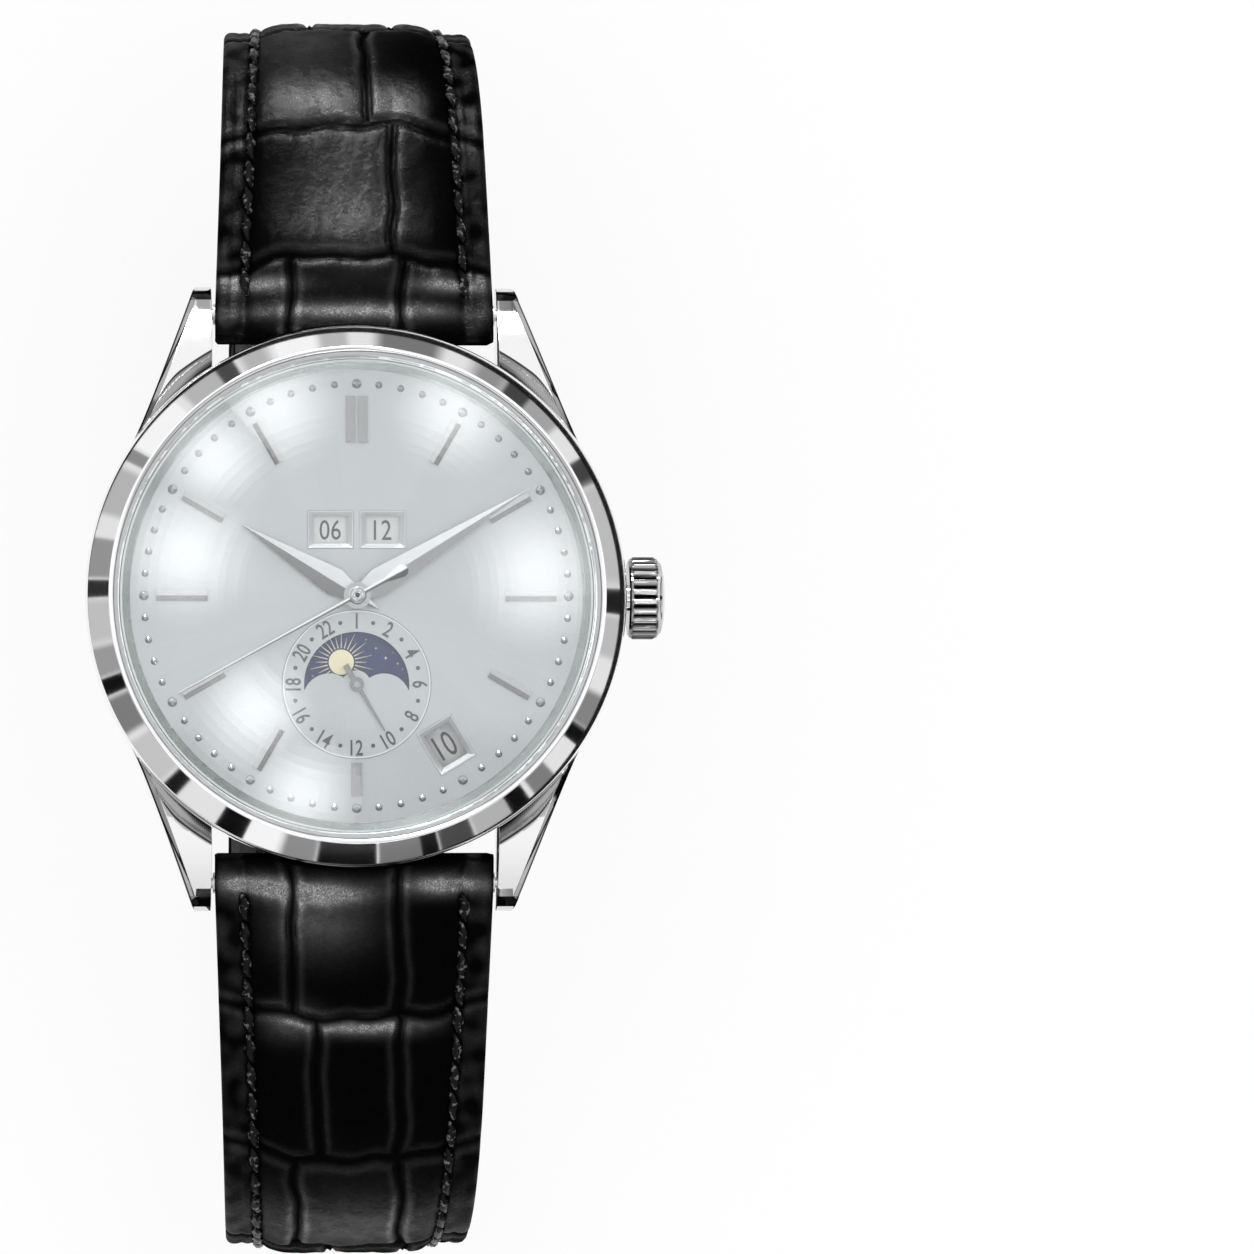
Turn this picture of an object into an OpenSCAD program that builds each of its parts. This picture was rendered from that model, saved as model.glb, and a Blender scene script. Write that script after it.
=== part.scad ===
// Automatic watch with day, date, month and day and night displays, on a padded leather strap.
// Origin: centre of the case back's outer face. +X to three o'clock, +Y to twelve, +Z out of the dial.

/* [Case] */
// Thickness of the case band, from the movement's seat outwards
case_wall = 2.9; // [2.6:0.05:3.6]
// Step from the case band in to the bezel
bezel_step = 0.1; // [0.05:0.05:0.4]
// Width of the ledge between the inner ring and the bezel's opening
bezel_ledge = 0.48; // [0.4:0.01:0.7]
// Height of the bezel
bezel_h = 2.3; // [2.1:0.1:2.6]
// Play of the strap between the lugs
lug_play = 0.5; // [0.3:0.1:1]
// Distance from the centre to the lug tips
lug_reach = 22.4; // [22.2:0.1:23.5]
// Distance from the lug tips in to the strap pins
pin_inset = 2; // [1.8:0.1:2.2]
// Height of the strap pins
pin_z = 2.9; // [2.7:0.1:3.2]
// Thickness of the case back
back_t = 1.2; // [1:0.1:1.6]
// Width of the case back's seat on the case band
back_seat = 1.2; // [0.9:0.1:1.4]
// Radius of the window in the case back
window_r = 12; // [10:0.5:13]
// Rise of the crystal's dome
dome_h = 1.4; // [1.1:0.1:1.8]
// Thickness of the crystal
crystal_t = 1; // [0.8:0.1:1.2]

/* [Crown] */
// Radius of the crown
crown_r = 2.965; // [2.6:0.05:3.2]
// Length of the fluted part
crown_len = 2.2; // [1.8:0.1:2.8]
// Number of flutes
flutes = 24; // [16:1:32]
// Travel of the crown when it is pulled
crown_travel = 1.2; // [0.8:0.1:1.2]
// Radius of the winding stem
stem_r = 0.45; // [0.4:0.01:0.5]

/* [Dial] */
// Radius of the dial
dial_r = 16.35; // [16.2:0.05:16.5]
// Thickness of the dial
dial_t = 0.4; // [0.3:0.05:0.5]
// Distance from the dial's edge in to the minute dots
dots_in = 1.21; // [1.05:0.02:1.45]
// Length of an hour marker
marker_len = 3.3; // [2.8:0.1:3.6]
// Width of an hour marker
marker_w = 0.72; // [0.5:0.02:0.9]
// Centre of the small dial, below the hand axis
small_y = 6.3; // [6.25:0.01:6.35]
// Radius of the small dial's ring
small_r = 5.3; // [5:0.1:5.5]
// Radius of the sun and moon opening
sky_r = 3.75; // [3.6:0.05:3.8]

/* [Hands] */
// Reach of the hour hand
hour_len = 9.68; // [8.5:0.1:10.2]
// Reach of the minute hand
minute_len = 14.5; // [13:0.1:15]
// Reach of the seconds hand
seconds_len = 14.45; // [13:0.1:15]
// Reach of the day and night hand
night_len = 3.86; // [3:0.1:4.2]
// Half of the widest breadth of the hour and minute hands
hand_half_w = 1.0; // [0.7:0.05:1.1]

/* [Movement] */
// Radius of the main plate
plate_r = 14.6; // [14.5:0.05:14.65]
// Thickness of the main plate
plate_t = 0.75; // [0.6:0.05:0.9]
// Thickness of the train bridge
bridge_t = 0.75; // [0.6:0.05:0.9]
// Height of the space that holds the gear train
train_h = 1.65; // [1.65:0.05:1.9]
// Height of the space that holds the calendar works
works_h = 1.05; // [1.05:0.05:1.3]
// Depth of the rotor's rim
rotor_rim_h = 1.4; // [1:0.1:1.4]
// Gap between the rotor and the ring round the movement
rotor_gap = 0.8; // [0.5:0.1:1.3]

/* [Strap] */
// Width of the strap at the lugs
strap_w = 20; // [19.6:0.1:20.2]
// Width of the strap at the buckle
strap_end_w = 16; // [15:0.5:18]
// Length over which the strap narrows
taper_len = 52; // [40:1:60]
// Thickness of the strap at the lugs
strap_root_t = 4.2; // [3.8:0.1:4.4]
// Thickness of the buckle half at its end
short_t = 2.4; // [2.2:0.1:2.8]
// Thickness of the long half at its tip
long_t = 2; // [1.8:0.1:2.4]
// Thickness of the lining
lining_t = 0.8; // [0.6:0.1:1]
// Height of the padding over the strap's edges
pad_h = 0.7; // [0.3:0.1:0.9]
// Length of the buckle half
short_len = 80; // [76:1:82]
// Length of the long half
long_len = 118; // [112:1:120]
// Number of buckle holes
hole_count = 6; // [3:1:7]
// Distance between buckle holes
hole_pitch = 6; // [5:0.5:7]

/* [Buckle] */
// Radius of the buckle's wire
buckle_wire = 1.15; // [0.9:0.05:1.3]
// Length of the buckle's frame
buckle_len = 11; // [10:0.5:13]
// Width of a keeper band along the strap
keeper_w = 4; // [3:0.5:6]
// Thickness of a keeper band
keeper_t = 1.1; // [0.8:0.1:1.3]

/* [Hidden] */
$fn = 96;

// Clearances: a wheel on its stud, two parts that sit in each other, and a cut past a face.
run_gap = 0.03;
seat_gap = 0.05;
cut = 0.5;

// Heights, from the case back up.
rotor_z = back_t + 0.4;
bridge_z = rotor_z + rotor_rim_h + 0.2;
train_z = bridge_z + bridge_t;
plate_z = train_z + train_h;
works_z = plate_z + plate_t;
dial_z = works_z + works_h;
dial_top = dial_z + dial_t;
case_top = dial_top + 0.2;
bezel_top = case_top + bezel_h;
hour_z = dial_top + 0.4;
hand_t = 0.22;
hand_gap = 0.2;
minute_z = hour_z + hand_t + hand_gap;
seconds_z = minute_z + hand_t + hand_gap;
seconds_t = 0.16;

// Radii that follow from the dial and the plate.
case_bore_r = dial_r + seat_gap;
case_r = case_bore_r + case_wall;
bezel_r = case_r - bezel_step;
back_r = case_bore_r + back_seat;
rehaut_r = case_bore_r + 0.45;
bezel_bore_r = rehaut_r + bezel_ledge;
crystal_r = bezel_bore_r - 0.28;
ring_r = case_bore_r - 0.1;
ring_bore_r = plate_r + 0.1;
rotor_r = ring_bore_r - rotor_gap;
dots_r = dial_r - dots_in;
lug_gap = strap_w + lug_play;
pin_y = lug_reach - pin_inset;
ring_low_z = bridge_z - 1.1;
window_lip = 0.6;
window_step = 0.3;

// Winding works. The winding pinion meets the crown wheel, which meets the ratchet wheel.
wind_m = 0.2;
pinion_teeth = 13;
crown_wheel_teeth = 28;
ratchet_teeth = 42;
wind_z = bridge_z - 0.3;
wind_t = 0.25;
stem_z = wind_z + wind_t - 0.1 + wind_m * (pinion_teeth / 2 + 0.7);
pinion_x = 10.4;
pinion_t = 0.8;
clutch_x = 8.9;
clutch_t = 1.4;
stem_pivot_x = 7;
stem_pivot_r = 0.25;
bearing_x = 12.5;
bearing_len = 1.8;

// Crown, from the case outwards.
crown_x = case_r + 0.3;
tube_r = 1.15;
tube_end_x = crown_x + 1.1;

// Gear train: teeth, modules and places in the plan.
barrel_a = 60;
barrel_m = 0.13;
barrel_teeth = 80;
centre_pinion_teeth = 10;
barrel_c = polar(barrel_a, barrel_m * (barrel_teeth + centre_pinion_teeth) / 2);
drum_r = barrel_m * barrel_teeth / 2 - 0.3;
third_a = 210;
train_m = 0.11;
third_teeth = 80;
third_pinion_teeth = 10;
third_d = train_m * (third_teeth + 10) / 2;
third_c = polar(third_a, third_d);
centre_teeth = 75;
centre_m = third_d * 2 / (centre_teeth + third_pinion_teeth);
fourth_teeth = 78;
fourth_pinion_teeth = 10;
escape_a = -30;
escape_pinion_teeth = 8;
escape_c = polar(escape_a, train_m * (fourth_teeth + escape_pinion_teeth) / 2);
escape_r = 2.3;
escape_teeth = 20;
balance_c = [5.2, -7.4];
balance_r = 4.2;
fork_d = 2.75;
fork_line = atan2(balance_c[1] - escape_c[1], balance_c[0] - escape_c[0]);
fork_c = escape_c + polar(fork_line, fork_d);
arbor_r = 0.15;
pivot_r = 0.1;
centre_tube_r = 0.33;
cannon_tube_r = 0.48;
hour_tube_r = 0.8;

// Crown wheel on the X axis, where it reaches both the pinion and the ratchet wheel.
crown_wheel_r = wind_m * crown_wheel_teeth / 2;
wind_d = wind_m * (crown_wheel_teeth + ratchet_teeth) / 2;
crown_wheel_c = [barrel_c[0] + sqrt(wind_d * wind_d - barrel_c[1] * barrel_c[1]), 0];
ratchet_dir = atan2(barrel_c[1], barrel_c[0] - crown_wheel_c[0]);
ratchet_tip_r = wind_m * (ratchet_teeth / 2 + 0.7);

// Automatic works under the bridge.
auto_m = 0.15;
rotor_teeth = 14;
reverser_teeth = 28;
reverser_c = [0, -auto_m * (rotor_teeth + reverser_teeth) / 2];
post_r = 0.55;
bearing_r = 1.5;

// Motion works over the main plate.
works_m = 0.1;
cannon_teeth = 10;
minute_teeth = 30;
minute_pinion_teeth = 8;
hour_teeth = 32;
idler_teeth = 20;
night_teeth = 64;
works_a = 40;
minute_c = polar(works_a, works_m * (cannon_teeth + minute_teeth) / 2);
small_c = [0, -small_y];
idler_d1 = works_m * (hour_teeth + idler_teeth) / 2;
idler_d2 = works_m * (idler_teeth + night_teeth) / 2;
idler_y = -(small_y * small_y + idler_d1 * idler_d1 - idler_d2 * idler_d2) / (2 * small_y);
idler_c = [-sqrt(idler_d1 * idler_d1 - idler_y * idler_y), idler_y];

// Calendar displays.
week_y = 4.73;
week_x = 1.87;
week_window = [2.43, 1.95];
week_frame = [3.25, 2.66];
date_window = [2.05, 2.62];
date_frame = [2.85, 3.42];
date_a = 149;
date_at_r = 12.37;
week_disc_r = 6.2;
week_disc_c = [6.4, week_y];
week_disc_z = works_z + 0.8;
date_in_r = 11;
date_out_r = 14.4;
sky_disc_r = sky_r + 0.15;

// Strap routes, as lengths and turns in the plane of the strap, from the pin outwards.
short_dir = -12;
long_dir = -8;
short_straight = 11;
short_bend = 13;
short_under = 10;
long_straight = 14.4;
long_bend = 13.5;
long_under = 19.13;
short_path = [[short_straight, 0], arc_step(short_bend, 90 + short_dir), arc_step(short_under, 90)];
long_path = [[long_straight, 0], arc_step(long_bend, 90 + long_dir), arc_step(long_under, 90)];
root_ring_r = strap_root_t / 2 + 0.06;
bar_r = 0.75;
bar_hole_r = 0.85;
pin_r = 0.4;
pin_deep = 0.75;
bar_end = route(short_path, short_len, [pin_y, pin_z], short_dir);
buckle_y = bar_end[0];
buckle_z = bar_end[1];
buckle_ring_r = 1.5;
buckle_gap = 0.4;
tongue_w = 2.6;
keeper_room = long_t + 0.2;

function polar(a, r) = [r * cos(a), r * sin(a)];
function rad(a) = a * PI / 180;
function arc_step(r, turn) = [r * rad(turn), turn];

// Point and heading at the distance s along a route of [length, clockwise turn] steps.
function route(steps, s, p, a, i = 0) =
    i >= len(steps) ? [p[0] + s * cos(a), p[1] + s * sin(a), a]
    : s <= steps[i][0] ? step_end(steps[i], s, p, a)
    : let (e = step_end(steps[i], steps[i][0], p, a))
      route(steps, s - steps[i][0], [e[0], e[1]], e[2], i + 1);
function step_end(step, s, p, a) =
    step[1] == 0 ? [p[0] + s * cos(a), p[1] + s * sin(a), a]
    : let (r = step[0] / rad(step[1]), b = a - step[1] * s / step[0])
      [p[0] + r * (sin(a) - sin(b)), p[1] + r * (cos(b) - cos(a)), b];

function arc_points(c, r, a0, a1, n) = [for (i = [0:n]) c + polar(a0 + (a1 - a0) * i / n, r)];

// Angle of a driven gear's first tooth, so that it meshes with the driver along the line at angle a.
function mesh(phase, n1, n2, a) = a + 180 - 180 / n2 + (a - phase) * n1 / n2;

// Flat toothed disc. Teeth are straight-sided and leave play on both flanks.
module gear_shape(n, m) {
    foot = 0.27;
    tip = 0.11;
    reach = 0.7;
    depth = 1.15;
    polygon([for (i = [0:n - 1]) for (p = [[-foot, -depth], [-tip, reach], [tip, reach], [foot, -depth]])
        polar((i + p[0]) * 360 / n, m * (n / 2 + p[1]))]);
}

module gear(n, m, t, phase = 0, bore = 0) {
    linear_extrude(height = t) difference() {
        rotate(phase) gear_shape(n, m);
        if (bore > 0) circle(r = bore);
    }
}

// Train wheel with spokes between a toothed rim and a hub.
module spoked_wheel(n, m, t, phase, hub, bore, spokes = 4) {
    rim = m * (n / 2 - 1.15) - 0.45;
    arm = 0.3;
    linear_extrude(height = t) difference() {
        rotate(phase) gear_shape(n, m);
        difference() {
            circle(r = rim);
            circle(r = hub);
            for (i = [0:spokes - 1]) rotate(360 * i / spokes)
                translate([0, -arm / 2]) square([rim + arm, arm]);
        }
        circle(r = bore);
    }
}

module ring(r, bore, h) {
    difference() {
        cylinder(r = r, h = h);
        translate([0, 0, -cut]) cylinder(r = bore, h = h + 2 * cut);
    }
}

module at(c, z) translate([c[0], c[1], z]) children();
module along_x(x, z) translate([x, 0, z]) rotate([0, 90, 0]) children();
module both_ends() for (s = [-1, 1]) scale([1, s, 1]) children();
module clock(a) rotate(90 - a) children();

/* Case */

module lug_plan() {
    start = polar(34, case_r);
    tip_x = lug_gap / 2 + 1.3;
    bow = polar(39.4, case_r + 0.24);
    tip = [tip_x, lug_reach - 0.2];
    edge = [for (i = [0:8]) let (t = i / 8)
        (1 - t) * (1 - t) * start + 2 * t * (1 - t) * bow + t * t * tip];
    root = [[lug_gap / 2, case_bore_r - 7.4], polar(28.3, case_bore_r - 1.6)];
    for (s = [-1, 1]) scale([s, 1]) polygon(concat(root, edge,
        [[tip_x - 0.15, lug_reach], [lug_gap / 2, lug_reach]]));
}

// Side view of a lug: a round back that falls from the bezel to a blunt tip.
module lug_side() {
    crest_y = lug_reach - 12.9;
    back_curve_r = 20.2;
    polygon(concat([[crest_y, back_t]], [[crest_y, case_top]],
        arc_points([crest_y, case_top - back_curve_r], back_curve_r, 88, 54, 12),
        [[lug_reach - 0.3, 3.3], [lug_reach, 2.3], [lug_reach, 1.2], [lug_reach - 0.3, 0.55],
         [lug_reach - 0.9, 0.25], [lug_reach - 2.9, 0.4], [lug_reach - 5.2, 0.9],
         [lug_reach - 7.9, back_t]]));
}

module case_profile() {
    waist = back_t + 1.8;
    polygon(concat([[case_bore_r, back_t], [back_r + 0.3, back_t]],
        arc_points([case_r - 1.6, waist], 1.6, -70, 0, 5),
        [[case_r, case_top - 0.35], [case_r - 0.12, case_top], [rehaut_r + run_gap, case_top],
         [rehaut_r + run_gap, dial_top], [case_bore_r, dial_top]]));
}

module mid_case() {
    strap_room = root_ring_r + 0.3;
    color("silver") difference() {
        union() {
            difference() {
                rotate_extrude() case_profile();
                both_ends() translate([-lug_gap / 2, pin_y, pin_z]) rotate([0, 90, 0])
                    cylinder(r = strap_room, h = lug_gap);
                both_ends() translate([-lug_gap / 2, pin_y - 0.4, -cut])
                    cube([lug_gap, 6, pin_z + cut]);
            }
            both_ends() difference() {
                intersection() {
                    linear_extrude(height = case_top) lug_plan();
                    translate([-case_r, 0, 0]) rotate([90, 0, 90])
                        linear_extrude(height = 2 * case_r) lug_side();
                }
                translate([0, 0, -cut]) cylinder(r = case_bore_r + 1, h = case_top + 2 * cut);
            }
        }
        both_ends() translate([-lug_gap / 2 - pin_deep - 0.2, pin_y, pin_z]) rotate([0, 90, 0])
            cylinder(r = pin_r + seat_gap, h = lug_gap + 2 * pin_deep + 0.4);
        along_x(case_bore_r - cut, stem_z) cylinder(r = tube_r + run_gap, h = case_wall + 2 * cut);
    }
}

module bezel() {
    foot = 0.5;
    lip = rehaut_r + run_gap;
    color("gainsboro") rotate_extrude() polygon([[lip, case_top], [bezel_r, case_top],
        [bezel_r, case_top + foot], [bezel_bore_r + 0.3, bezel_top], [bezel_bore_r, bezel_top - 0.08],
        [bezel_bore_r, case_top + foot], [lip, case_top + foot]]);
}

// Domed glass: the top and the underside are parts of two balls.
module crystal() {
    seat = case_top + 0.5;
    edge_z = bezel_top - 0.1;
    top_z = edge_z + dome_h;
    ball = (crystal_r * crystal_r + dome_h * dome_h) / (2 * dome_h);
    reach = asin(crystal_r / ball);
    inner_r = crystal_r - 0.8;
    inner_ball = ball - crystal_t;
    inner_reach = asin(inner_r / inner_ball);
    color([0.85, 0.92, 0.95, 0.35]) rotate_extrude() polygon(concat(
        arc_points([0, top_z - ball], ball, 90, 90 - reach, 12),
        [[crystal_r, seat], [inner_r, seat]],
        arc_points([0, top_z - ball], inner_ball, 90 - inner_reach, 90, 12)));
}

module crystal_gasket() {
    color("dimgray") translate([0, 0, case_top + 0.53])
        ring(bezel_bore_r - run_gap, crystal_r + run_gap, bezel_h - 0.8);
}

module rehaut() {
    low_r = dial_r - 0.22;
    color("darkgray") rotate_extrude() polygon([[low_r, dial_top], [rehaut_r, dial_top],
        [rehaut_r, case_top + 0.42], [rehaut_r - 0.15, case_top + 0.42], [low_r, dial_top + 0.08]]);
}

module case_back() {
    spigot_r = case_bore_r - 0.1;
    notches = 6;
    notch_r = 1.1;
    notch_deep = 0.6;
    color("silver") difference() {
        union() {
            cylinder(r = back_r, h = back_t);
            cylinder(r = spigot_r, h = ring_low_z - run_gap);
        }
        translate([0, 0, -cut]) cylinder(r = window_r, h = 5);
        translate([0, 0, window_step]) cylinder(r = window_r + window_lip, h = 5);
        translate([0, 0, back_t]) cylinder(r = spigot_r - 0.9, h = 5);
        for (i = [0:notches - 1]) rotate((i + 0.5) * 360 / notches)
            translate([back_r, 0, -cut]) cylinder(r = notch_r, h = notch_deep + cut);
    }
}

module back_window() {
    top = back_t - 0.1;
    color([0.85, 0.92, 0.95, 0.35]) {
        cylinder(r = window_r - run_gap, h = top);
        translate([0, 0, window_step]) cylinder(r = window_r + window_lip - run_gap, h = top - window_step);
    }
}

// Spacer that centres the movement in the case and carries the dial.
module movement_ring() {
    color("lightgray") difference() {
        translate([0, 0, ring_low_z]) ring(ring_r, ring_bore_r, dial_z - 0.03 - ring_low_z);
        along_x(ring_bore_r - cut, stem_z) cylinder(r = stem_r + 0.15, h = ring_r - ring_bore_r + 2 * cut);
    }
}

/* Crown and winding works */

module crown_tube() {
    color("silver") along_x(case_bore_r + 0.1, stem_z)
        ring(tube_r, stem_r + seat_gap, tube_end_x - case_bore_r - 0.1);
}

module crown() {
    rim = 0.35;
    flute_r = PI * crown_r / flutes * 0.52;
    dome = 0.45;
    color("gainsboro") along_x(crown_x, stem_z) difference() {
        rotate_extrude() polygon(concat([[0, 0], [crown_r - rim, 0], [crown_r, rim],
            [crown_r, crown_len - rim], [crown_r - rim, crown_len]],
            [for (i = [1:5]) [(crown_r - rim) * cos(18 * i), crown_len + dome * sin(18 * i)]]));
        for (i = [0:flutes - 1]) rotate(360 * i / flutes)
            translate([crown_r + flute_r * 0.45, 0, -cut]) cylinder(r = flute_r, h = crown_len + cut);
        translate([0, 0, -cut]) cylinder(r = tube_r + seat_gap, h = cut + 1.1 + 0.2);
        translate([0, 0, -cut]) cylinder(r = stem_r + run_gap, h = cut + 2);
    }
}

module stem() {
    pivot_len = crown_travel + 0.3;
    shoulder_x = stem_pivot_x + pivot_len;
    color("silver") {
        along_x(stem_pivot_x, stem_z) cylinder(r = stem_pivot_r, h = pivot_len);
        along_x(shoulder_x, stem_z) cylinder(r = stem_r, h = crown_x + 1.9 - shoulder_x);
    }
}

module winding_pinion() {
    color("silver") along_x(pinion_x, stem_z) gear(pinion_teeth, wind_m, pinion_t, 0, stem_r + seat_gap);
}

module clutch_wheel() {
    groove = 0.4;
    hub_r = 0.9;
    color("silver") along_x(clutch_x, stem_z) difference() {
        union() {
            cylinder(r = hub_r, h = clutch_t);
            translate([0, 0, clutch_t - 0.3]) gear(12, 0.17, 0.3);
        }
        translate([0, 0, 0.4]) ring(hub_r + cut, hub_r - 0.2, groove);
        translate([0, 0, -cut]) cylinder(r = stem_r + seat_gap, h = clutch_t + 2 * cut);
    }
}

module crown_wheel() {
    phase = 180 / crown_wheel_teeth;
    color("silver") at(crown_wheel_c, wind_z) difference() {
        gear(crown_wheel_teeth, wind_m, wind_t, phase, 0.7 + run_gap);
        translate([0, 0, -cut]) ring(crown_wheel_r - 0.6, crown_wheel_r - 0.9, cut + 0.06);
    }
}

function ratchet_phase() = mesh(180 / crown_wheel_teeth, crown_wheel_teeth, ratchet_teeth, ratchet_dir);

module ratchet_wheel() {
    color("silver") at(barrel_c, wind_z) difference() {
        gear(ratchet_teeth, wind_m, wind_t, ratchet_phase(), 0.4 + run_gap);
        for (r = [1.6, 2.6]) translate([0, 0, -cut]) ring(r + 0.05, r, cut + 0.05);
    }
}

// Pawl on the bridge, held just off the ratchet teeth at rest.
click_a = 105;
click_c = barrel_c + polar(click_a, ratchet_tip_r + 1.1);
module click() {
    aim = click_a - 180 - 50;
    color("silver") at(click_c, wind_z) difference() {
        union() {
            cylinder(r = 0.55, h = wind_t);
            rotate(aim) linear_extrude(height = wind_t)
                polygon([[0, -0.3], [1.75, -0.14], [1.75, 0.06], [0, 0.4]]);
        }
        translate([0, 0, -cut]) cylinder(r = 0.3 + run_gap, h = 2);
    }
}

module spring_bars() {
    color("silver") both_ends() translate([0, pin_y, pin_z]) rotate([0, 90, 0]) {
        cylinder(r = bar_r, h = lug_gap - 0.3, center = true);
        cylinder(r = pin_r, h = lug_gap + 2 * pin_deep, center = true);
    }
}

/* Dial and displays */

// Opening over the sky disc: an arch with two side clouds and a hub rest.
module sky_shape() {
    difference() {
        circle(r = sky_r);
        translate([-sky_r - 1, -2 * sky_r - 0.45]) square([2 * sky_r + 2, 2 * sky_r]);
        for (s = [-1, 1]) translate([s * 1.95, -1.1]) circle(r = 1.88);
        circle(r = 1);
    }
}

module week_window_places() for (s = [-1, 1]) translate([s * week_x, week_y, 0]) children();

module date_window_place() clock(date_a) translate([date_at_r, 0, 0]) rotate(90) children();

module block(size, h) linear_extrude(height = h) square(size, center = true);

module dial() {
    gap = [seat_gap, seat_gap];
    color("whitesmoke") difference() {
        translate([0, 0, dial_z]) cylinder(r = dial_r, h = dial_t);
        translate([0, 0, dial_z - cut]) {
            cylinder(r = hour_tube_r + 0.15, h = 2);
            week_window_places() block(week_frame + gap, 2);
            date_window_place() block(date_frame + gap, 2);
            at(small_c, 0) linear_extrude(height = 2) sky_shape();
            at(small_c, 0) cylinder(r = 0.4, h = 2);
        }
        at(small_c, dial_top - 0.08) ring(small_r, small_r - 0.15, 1);
    }
}

// Bevelled frame whose inner walls slope from the opening up to the outer edge.
module window_frame(outer, inner) {
    top = dial_t + 0.05;
    lip = [0.12, 0.12];
    leaf = 0.01;
    difference() {
        block(outer - [run_gap, run_gap], top);
        translate([0, 0, -cut]) block(inner, 2);
        hull() {
            translate([0, 0, 0.08]) block(inner, leaf);
            translate([0, 0, top]) block(outer - lip, leaf);
        }
    }
}

module window_frames() {
    color("gainsboro") {
        translate([0, 0, dial_z]) {
            week_window_places() window_frame(week_frame, week_window);
            date_window_place() window_frame(date_frame, date_window);
        }
        at(small_c, dial_top - 0.08) ring(small_r - run_gap, small_r - 0.12, 0.14);
    }
}

// Marker with a ridge along its length, lying on the X axis.
module marker(inner, outer, w) {
    edge_h = 0.16;
    ridge_h = 0.34;
    translate([inner, 0, 0]) rotate([90, 0, 90]) linear_extrude(height = outer - inner)
        polygon([[-w / 2, 0], [w / 2, 0], [w / 2, edge_h], [0, ridge_h], [-w / 2, edge_h]]);
}

module hour_markers() {
    outer = dots_r - 0.89;
    inner = outer - marker_len;
    twin_gap = 0.15;
    color("gainsboro") translate([0, 0, dial_top]) {
        for (h = [1, 2, 4, 7, 8, 10, 11]) clock(30 * h) marker(inner, outer, marker_w);
        for (h = [3, 9]) clock(30 * h) marker(inner - 0.35, outer, marker_w + 0.06);
        clock(180) marker(small_y + small_r + 0.3, outer, marker_w + 0.04);
        for (s = [-1, 1]) translate([s * (marker_w + twin_gap) / 2, 0, 0])
            clock(0) marker(inner, outer, marker_w);
    }
}

module minute_dots() {
    small_dot = 0.26;
    large_dot = 0.345;
    color("gainsboro") translate([0, 0, dial_top]) for (i = [0:59]) clock(6 * i) translate([dots_r, 0, 0])
        let (r = i % 5 == 0 ? large_dot : small_dot, $fn = 24) {
            cylinder(r1 = r, r2 = 0.8 * r, h = 0.12);
            translate([0, 0, 0.12]) cylinder(r1 = 0.8 * r, r2 = 0.35 * r, h = 0.08);
        }
}

// Kite-shaped hand along +X with a ridge from tail to tip.
module kite(reach, tail, half_w, widest, t) {
    e = 0.08;
    polyhedron(points = [[reach, 0, 0], [widest, -half_w, 0], [-tail, 0, 0], [widest, half_w, 0],
                         [reach, 0, t], [widest, -half_w, e], [-tail, 0, t], [widest, half_w, e]],
               faces = [[3, 2, 1, 0], [1, 5, 4, 0], [2, 6, 5, 1], [3, 7, 6, 2], [0, 4, 7, 3],
                        [5, 6, 4], [6, 7, 4]]);
}

module pointed_hand(reach, bore) {
    difference() {
        union() {
            kite(reach, 1.9, hand_half_w, 1.9, hand_t);
            cylinder(r = hand_half_w - 0.03, h = hand_t);
        }
        translate([0, 0, -cut]) cylinder(r = bore, h = 2);
    }
}

push_fit = 0.02;
hour_a = 301.6;
minute_a = 58.1;
seconds_a = 241.2;
night_a = 149;
night_z = dial_top + 0.25;
night_t = 0.16;
night_post_r = 0.2;

module hour_hand() {
    color("gainsboro") translate([0, 0, hour_z]) clock(hour_a) pointed_hand(hour_len, hour_tube_r + push_fit);
}

module minute_hand() {
    color("gainsboro") translate([0, 0, minute_z]) clock(minute_a)
        pointed_hand(minute_len, cannon_tube_r + push_fit);
}

module seconds_hand() {
    hub_r = 0.63;
    drop_r = 0.46;
    color("gainsboro") translate([0, 0, seconds_z]) clock(seconds_a) linear_extrude(height = seconds_t)
        difference() {
            union() {
                polygon([[seconds_len, -0.06], [seconds_len, 0.06], [0, 0.13], [-2.2, 0.16], [-3.4, 0.42],
                         [-3.4, -0.42], [-2.2, -0.16], [0, -0.13]]);
                circle(r = hub_r);
                translate([-3.6, 0]) circle(r = drop_r);
            }
            circle(r = arbor_r + push_fit);
        }
}

module day_night_hand() {
    hub_r = 0.5;
    color("gainsboro") at(small_c, night_z) clock(night_a) linear_extrude(height = night_t) difference() {
        union() {
            polygon([[night_len, -0.05], [night_len, 0.05], [0, 0.16], [-1.6, 0.22],
                     [-1.6, -0.22], [0, -0.16]]);
            circle(r = hub_r);
        }
        circle(r = night_post_r + push_fit);
    }
}

module date_ring() {
    days = 31;
    tooth_w = 0.5;
    color("white") translate([0, 0, works_z + 0.1]) difference() {
        ring(date_out_r, date_in_r, 0.15);
        for (i = [0:days - 1]) rotate(360 * i / days)
            translate([date_in_r - 0.1, -tooth_w / 2, -cut]) cube([0.45, tooth_w, 2]);
    }
}

module week_disc(side) {
    at([side * week_disc_c[0], week_disc_c[1]], week_disc_z) ring(week_disc_r, 0.4, 0.1);
}
module day_disc() color("white") week_disc(-1);
module month_disc() color("white") week_disc(1);

module sun_moon_disc() color("midnightblue") at(small_c, works_z + 0.65) ring(sky_disc_r, 0.3, 0.1);

/* Motion works */

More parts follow.
